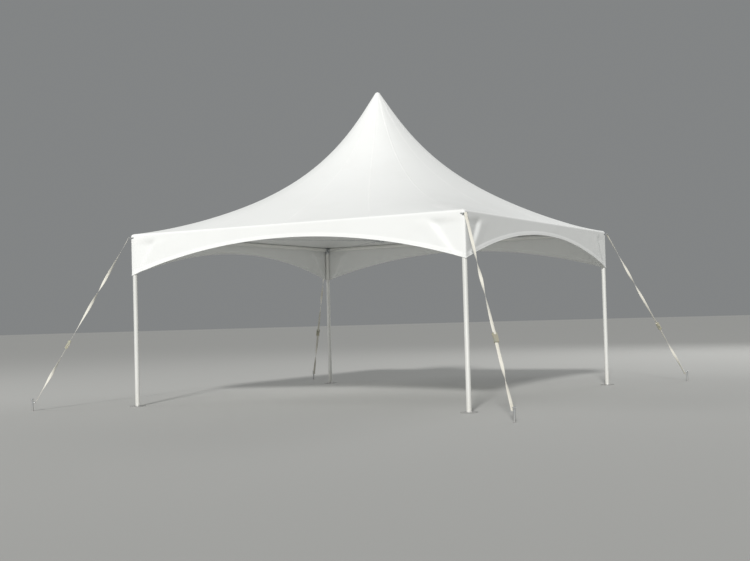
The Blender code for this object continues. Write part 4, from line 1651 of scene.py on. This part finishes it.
stakeValues = {
    "distance": 1.362,
    "radius": 0.0125,
    "height": 0.160,
    "head": ((0, 0.0004), (0.006, 0.0), (0.0140, 0.0002), (0.0190, 0.0016), (0.0214, 0.0042),
             (0.0220, 0.0072), (0.0208, 0.0098), (0.0172, 0.0106), (0.0140, 0.0118)),
    "neck": 0.0155,           # the head's points are a radius and a drop, and the neck a drop
    "loopRadius": 0.004,
    "loopHalf": 0.0255,
    "loopBend": (0.014, 0.0062),      # how far back the loop's sides begin to close, and radius
    "weld": (0.0085, 0.0105, 0.0056),     # back from the axis, to the side, and radius
    "dent": 0.0011,
}


def makeStakes():
    v = stakeValues
    x, r, top = v["distance"], v["radius"], v["height"]
    profile = [(out, top - drop) for out, drop in v["head"]]
    profile += [(r, top - v["neck"] - 0.0125 * k) for k in range(11)] + [(r, 0.0), (0, 0.0)]
    stake = spinProfile(profile, 32, (x, 0, 0), (x, 0, 1))
    for vert in stake.data.vertices:
        # hammer marks, deeper at the head
        p = vert.co
        rough = noise.noise(p * 95.0) * v["dent"] * (1.0 if p.z > top - 0.02 else 0.28)
        if 0.001 < p.z:
            away = Vector((p.x - x, p.y, 0))
            vert.co = p + away * (rough / max(away.length, 0.004)) * (away.length / r)
    half, (front, _, height) = v["loopHalf"], strapValues["stakeBar"]
    back, bend = v["loopBend"]
    route = [(x, -0.006, height), (front + back, -half, height), (front, -half, height),
             (front, half, height), (front + back, half, height), (x, 0.006, height)]
    loop = sweepRod(roundedPath(route, bend), v["loopRadius"], 14)
    weldBack, weldSide, weldRadius = v["weld"]
    welds = [addBall((x - weldBack, hand * weldSide, height), weldRadius, 16) for hand in (-1, 1)]
    piece = smooth(joinAll([stake, loop] + welds, "groundStake"), 40)
    toCorners(piece, "groundStake", groundZinc, "ground_stake")


# Cross cables from each corner's lug to the foot of the flying mast. The end pieces are modelled
# along X, with their pin at the origin.

cableValues = {
    "radius": 0.0040,
    "strands": 6,
    "strandDepth": 0.18,      # share of the radius
    "lay": 0.052,             # length of one turn of the strands
    "footPin": (0.078, -0.0812),      # out from the mast's axis, and height under the beam's
    "forkTail": 0.022,
    "forkHalf": 0.0100,
    "forkPlate": (0.0043, 0.0073),
    "barrelStart": 0.052,
    "barrelEnd": 0.086,
    "turnbuckle": (0.160, 0.340),     # from the foot's pin
    "boss": 0.026,
    "bodyRadius": 0.0105,
    "sideBar": 0.0036,
    "studRadius": 0.0052,
    "pitch": 0.0022,
}


def makeRope(start, end):
    v = cableValues
    axis = end - start
    way = axis.normalized()
    side = way.orthogonal().normalized()
    other = way.cross(side)
    steps = int(axis.length / v["lay"] * 10)
    points = v["strands"] * 4
    loops = []
    for k in range(steps + 1):
        middle = start + axis * (k / steps)
        swing = turn * (axis.length * k / steps) / v["lay"]
        loop = []
        for j in range(points):
            angle = turn * j / points
            ridge = v["strandDepth"] * abs(math.cos(v["strands"] * angle / 2))
            radius = v["radius"] * (1 - v["strandDepth"] + ridge)
            spoke = side * math.cos(angle + swing) + other * math.sin(angle + swing)
            loop.append(middle + spoke * radius)
        loops.append(loop)
    return loft(loops, "rope")


def threadedRod(start, end, radius):
    pitch = cableValues["pitch"]
    count = int((end - start) / pitch)
    profile = [(0, 0)]
    for k in range(count):
        profile += [(radius * 0.86, k * pitch), (radius, (k + 0.5) * pitch)]
    profile += [(radius * 0.86, count * pitch), (0, count * pitch)]
    return spinProfile(profile, 14, (start, 0, 0), (end, 0, 0))


def turnedAlong(profile):
    return spinProfile(profile, 24, (0, 0, 0), (1, 0, 0))


def makeFork(pin, way):
    # clevis on a lug: two cheeks, the pin with its split ring, and a swaged barrel
    v = cableValues
    inner, outer = v["forkPlate"]
    half, tail, start, end = v["forkHalf"], v["forkTail"], v["barrelStart"], v["barrelEnd"]
    body = addBox((-half, -outer, -half), (tail + 0.006, outer, half))
    gap = addBox((-0.05, -inner, -0.02), (tail, inner, 0.02))
    roundEdges(body, 1, [-half], half * 0.96, 6)
    barrel = [(0, tail + 0.003), (0.0080, tail + 0.003), (0.0084, tail + 0.0055), (0.0084, start),
              (0.0076, start + 0.003), (0.0070, end - 0.002), (0.0062, end), (0, end)]
    shank = [(0, -outer - 0.0032), (0.0062, -outer - 0.0032), (0.0068, -outer - 0.0024),
             (0.0068, -outer - 0.0002), (0.0042, -outer), (0.0042, outer + 0.0062),
             (0.0036, outer + 0.0070), (0, outer + 0.0070)]
    parts = [cutAway(body, [gap], 0.0007), turnedAlong(barrel),
             spinProfile(shank, 20, (0, 0, 0), (0, 1, 0)),
             addRing((0.0, outer + 0.0040, 0.0058), (1, 0.25, 0), 0.0062, 0.0007, 20)]
    return placeAlong(joinAll(parts, "fork"), pin, way)


def makeTurnbuckle(pin, way):
    # open body: two bosses joined by side bars, a threaded stud in each end
    v = cableValues
    near, far = v["turnbuckle"]
    r, boss, stud = v["bodyRadius"], v["boss"], v["studRadius"]
    parts = []
    for low, high in ((near, near + boss), (far - boss, far)):
        parts.append(turnedAlong([(0, low), (r * 0.78, low), (r, low + 0.004), (r, high - 0.004),
                                  (r * 0.78, high), (0, high)]))
    for hand in (-1, 1):
        y = hand * (r - 0.0028)
        bar = [(near + 0.010, y * 0.8, 0), (near + boss, y, 0), (far - boss, y, 0),
               (far - 0.010, y * 0.8, 0)]
        parts.append(sweepRod(roundedPath(bar, 0.008), v["sideBar"]))
    parts.append(threadedRod(v["barrelEnd"] - 0.012, near + 0.052, stud))
    parts.append(threadedRod(far - 0.056, far + 0.036, stud))
    nut = addRod((near - 0.0085, 0, 0), (near - 0.0005, 0, 0), 0.0092, 6)
    parts.append(bevelEdges(nut, 0.0006, 1))
    sleeve = [(0, 0.030), (0.0066, 0.030), (0.0070, 0.033), (0.0070, 0.086), (0.0060, 0.090),
              (0, 0.090)]
    parts.append(turnedAlong([(out, far + along) for out, along in sleeve]))
    return placeAlong(joinAll(parts, "turnbuckle"), pin, way)


def makeCables():
    v = cableValues
    lugX, lugY, lugRise = fittingValues["lugHole"]
    lug = Vector((lugX, lugY, beamHeight + lugRise))
    foot = Vector((mastReach + v["footPin"][0], 0, beamHeight + v["footPin"][1]))
    way = (foot - lug).normalized()
    ropeStart = lug + way * (v["barrelEnd"] - 0.010)
    ropeEnd = foot - way * (v["turnbuckle"][1] + 0.080)
    parts = [makeRope(ropeStart, ropeEnd), makeFork(lug, way), makeFork(foot, -way),
             makeTurnbuckle(foot, -way)]
    cable = smoothHard(joinAll(parts, "crossCable"))
    toCorners(cable, "crossCable", cableSteel, "cross_cable")


mastFootValues = {
    "bottom": 2.185,
    "plate": 0.012,
    "radius": 0.042,
    "rim": 0.018,
    "spigotTop": 2.287,
    "weld": 0.0022,
    "weldHalf": 0.016,
}


def makeMastFoot():
    v = mastFootValues
    low, r, peak = v["bottom"], v["radius"], v["spigotTop"]
    top = low + v["plate"]
    rim = top + v["rim"]
    bore, spigot = tubeRadius + 0.0003, fittingValues["spigot"]
    cup = [(0, low), (r - 0.004, low), (r - 0.0012, low + 0.0012), (r, low + 0.004),
           (r, rim - 0.0015), (r - 0.0015, rim), (bore + 0.001, rim), (bore, rim - 0.001),
           (bore, top), (0, top)]
    plug = [(0, peak), (spigot - 0.003, peak), (spigot, peak - 0.008), (spigot, top - 0.002),
            (0, top - 0.002)]
    parts = [spinProfile(cup, 48), spinProfile(plug, 32)]
    hole = (cableValues["footPin"][0], 0.0, beamHeight + cableValues["footPin"][1])
    low, high = hole[2] - v["weldHalf"], hole[2] + v["weldHalf"]
    welds = lugWelds(r - 0.0004, low, high, 0.0008, v["weld"])
    lug = joinAll([makeLug(tubeRadius + 0.004, hole)] + welds, "footLug")
    parts += [copyTo(lug, Matrix.Rotation(angle, 4, "Z")) for angle in corners.values()]
    bpy.data.objects.remove(lug, do_unlink=True)
    parts.append(addBolt((0, 0, v["bottom"]), (0, 0, -1), 0.0095, 0.0065))
    foot = smoothHard(joinAll(parts, "mastFoot"))
    finishPiece(foot, "mastFoot", fittingZinc, ["mast_foot"])


makeCornerFittings()
makeBasePlates()
print("corner fittings and base plates are made")
makeStraps()
makeRatchets()
makeStakes()
print("straps, ratchets and stakes are made")
makeCables()
makeMastFoot()
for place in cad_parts["mast_cap"].material_slots:
    place.material = fittingZinc
print("cross cables and the mast's foot are made")
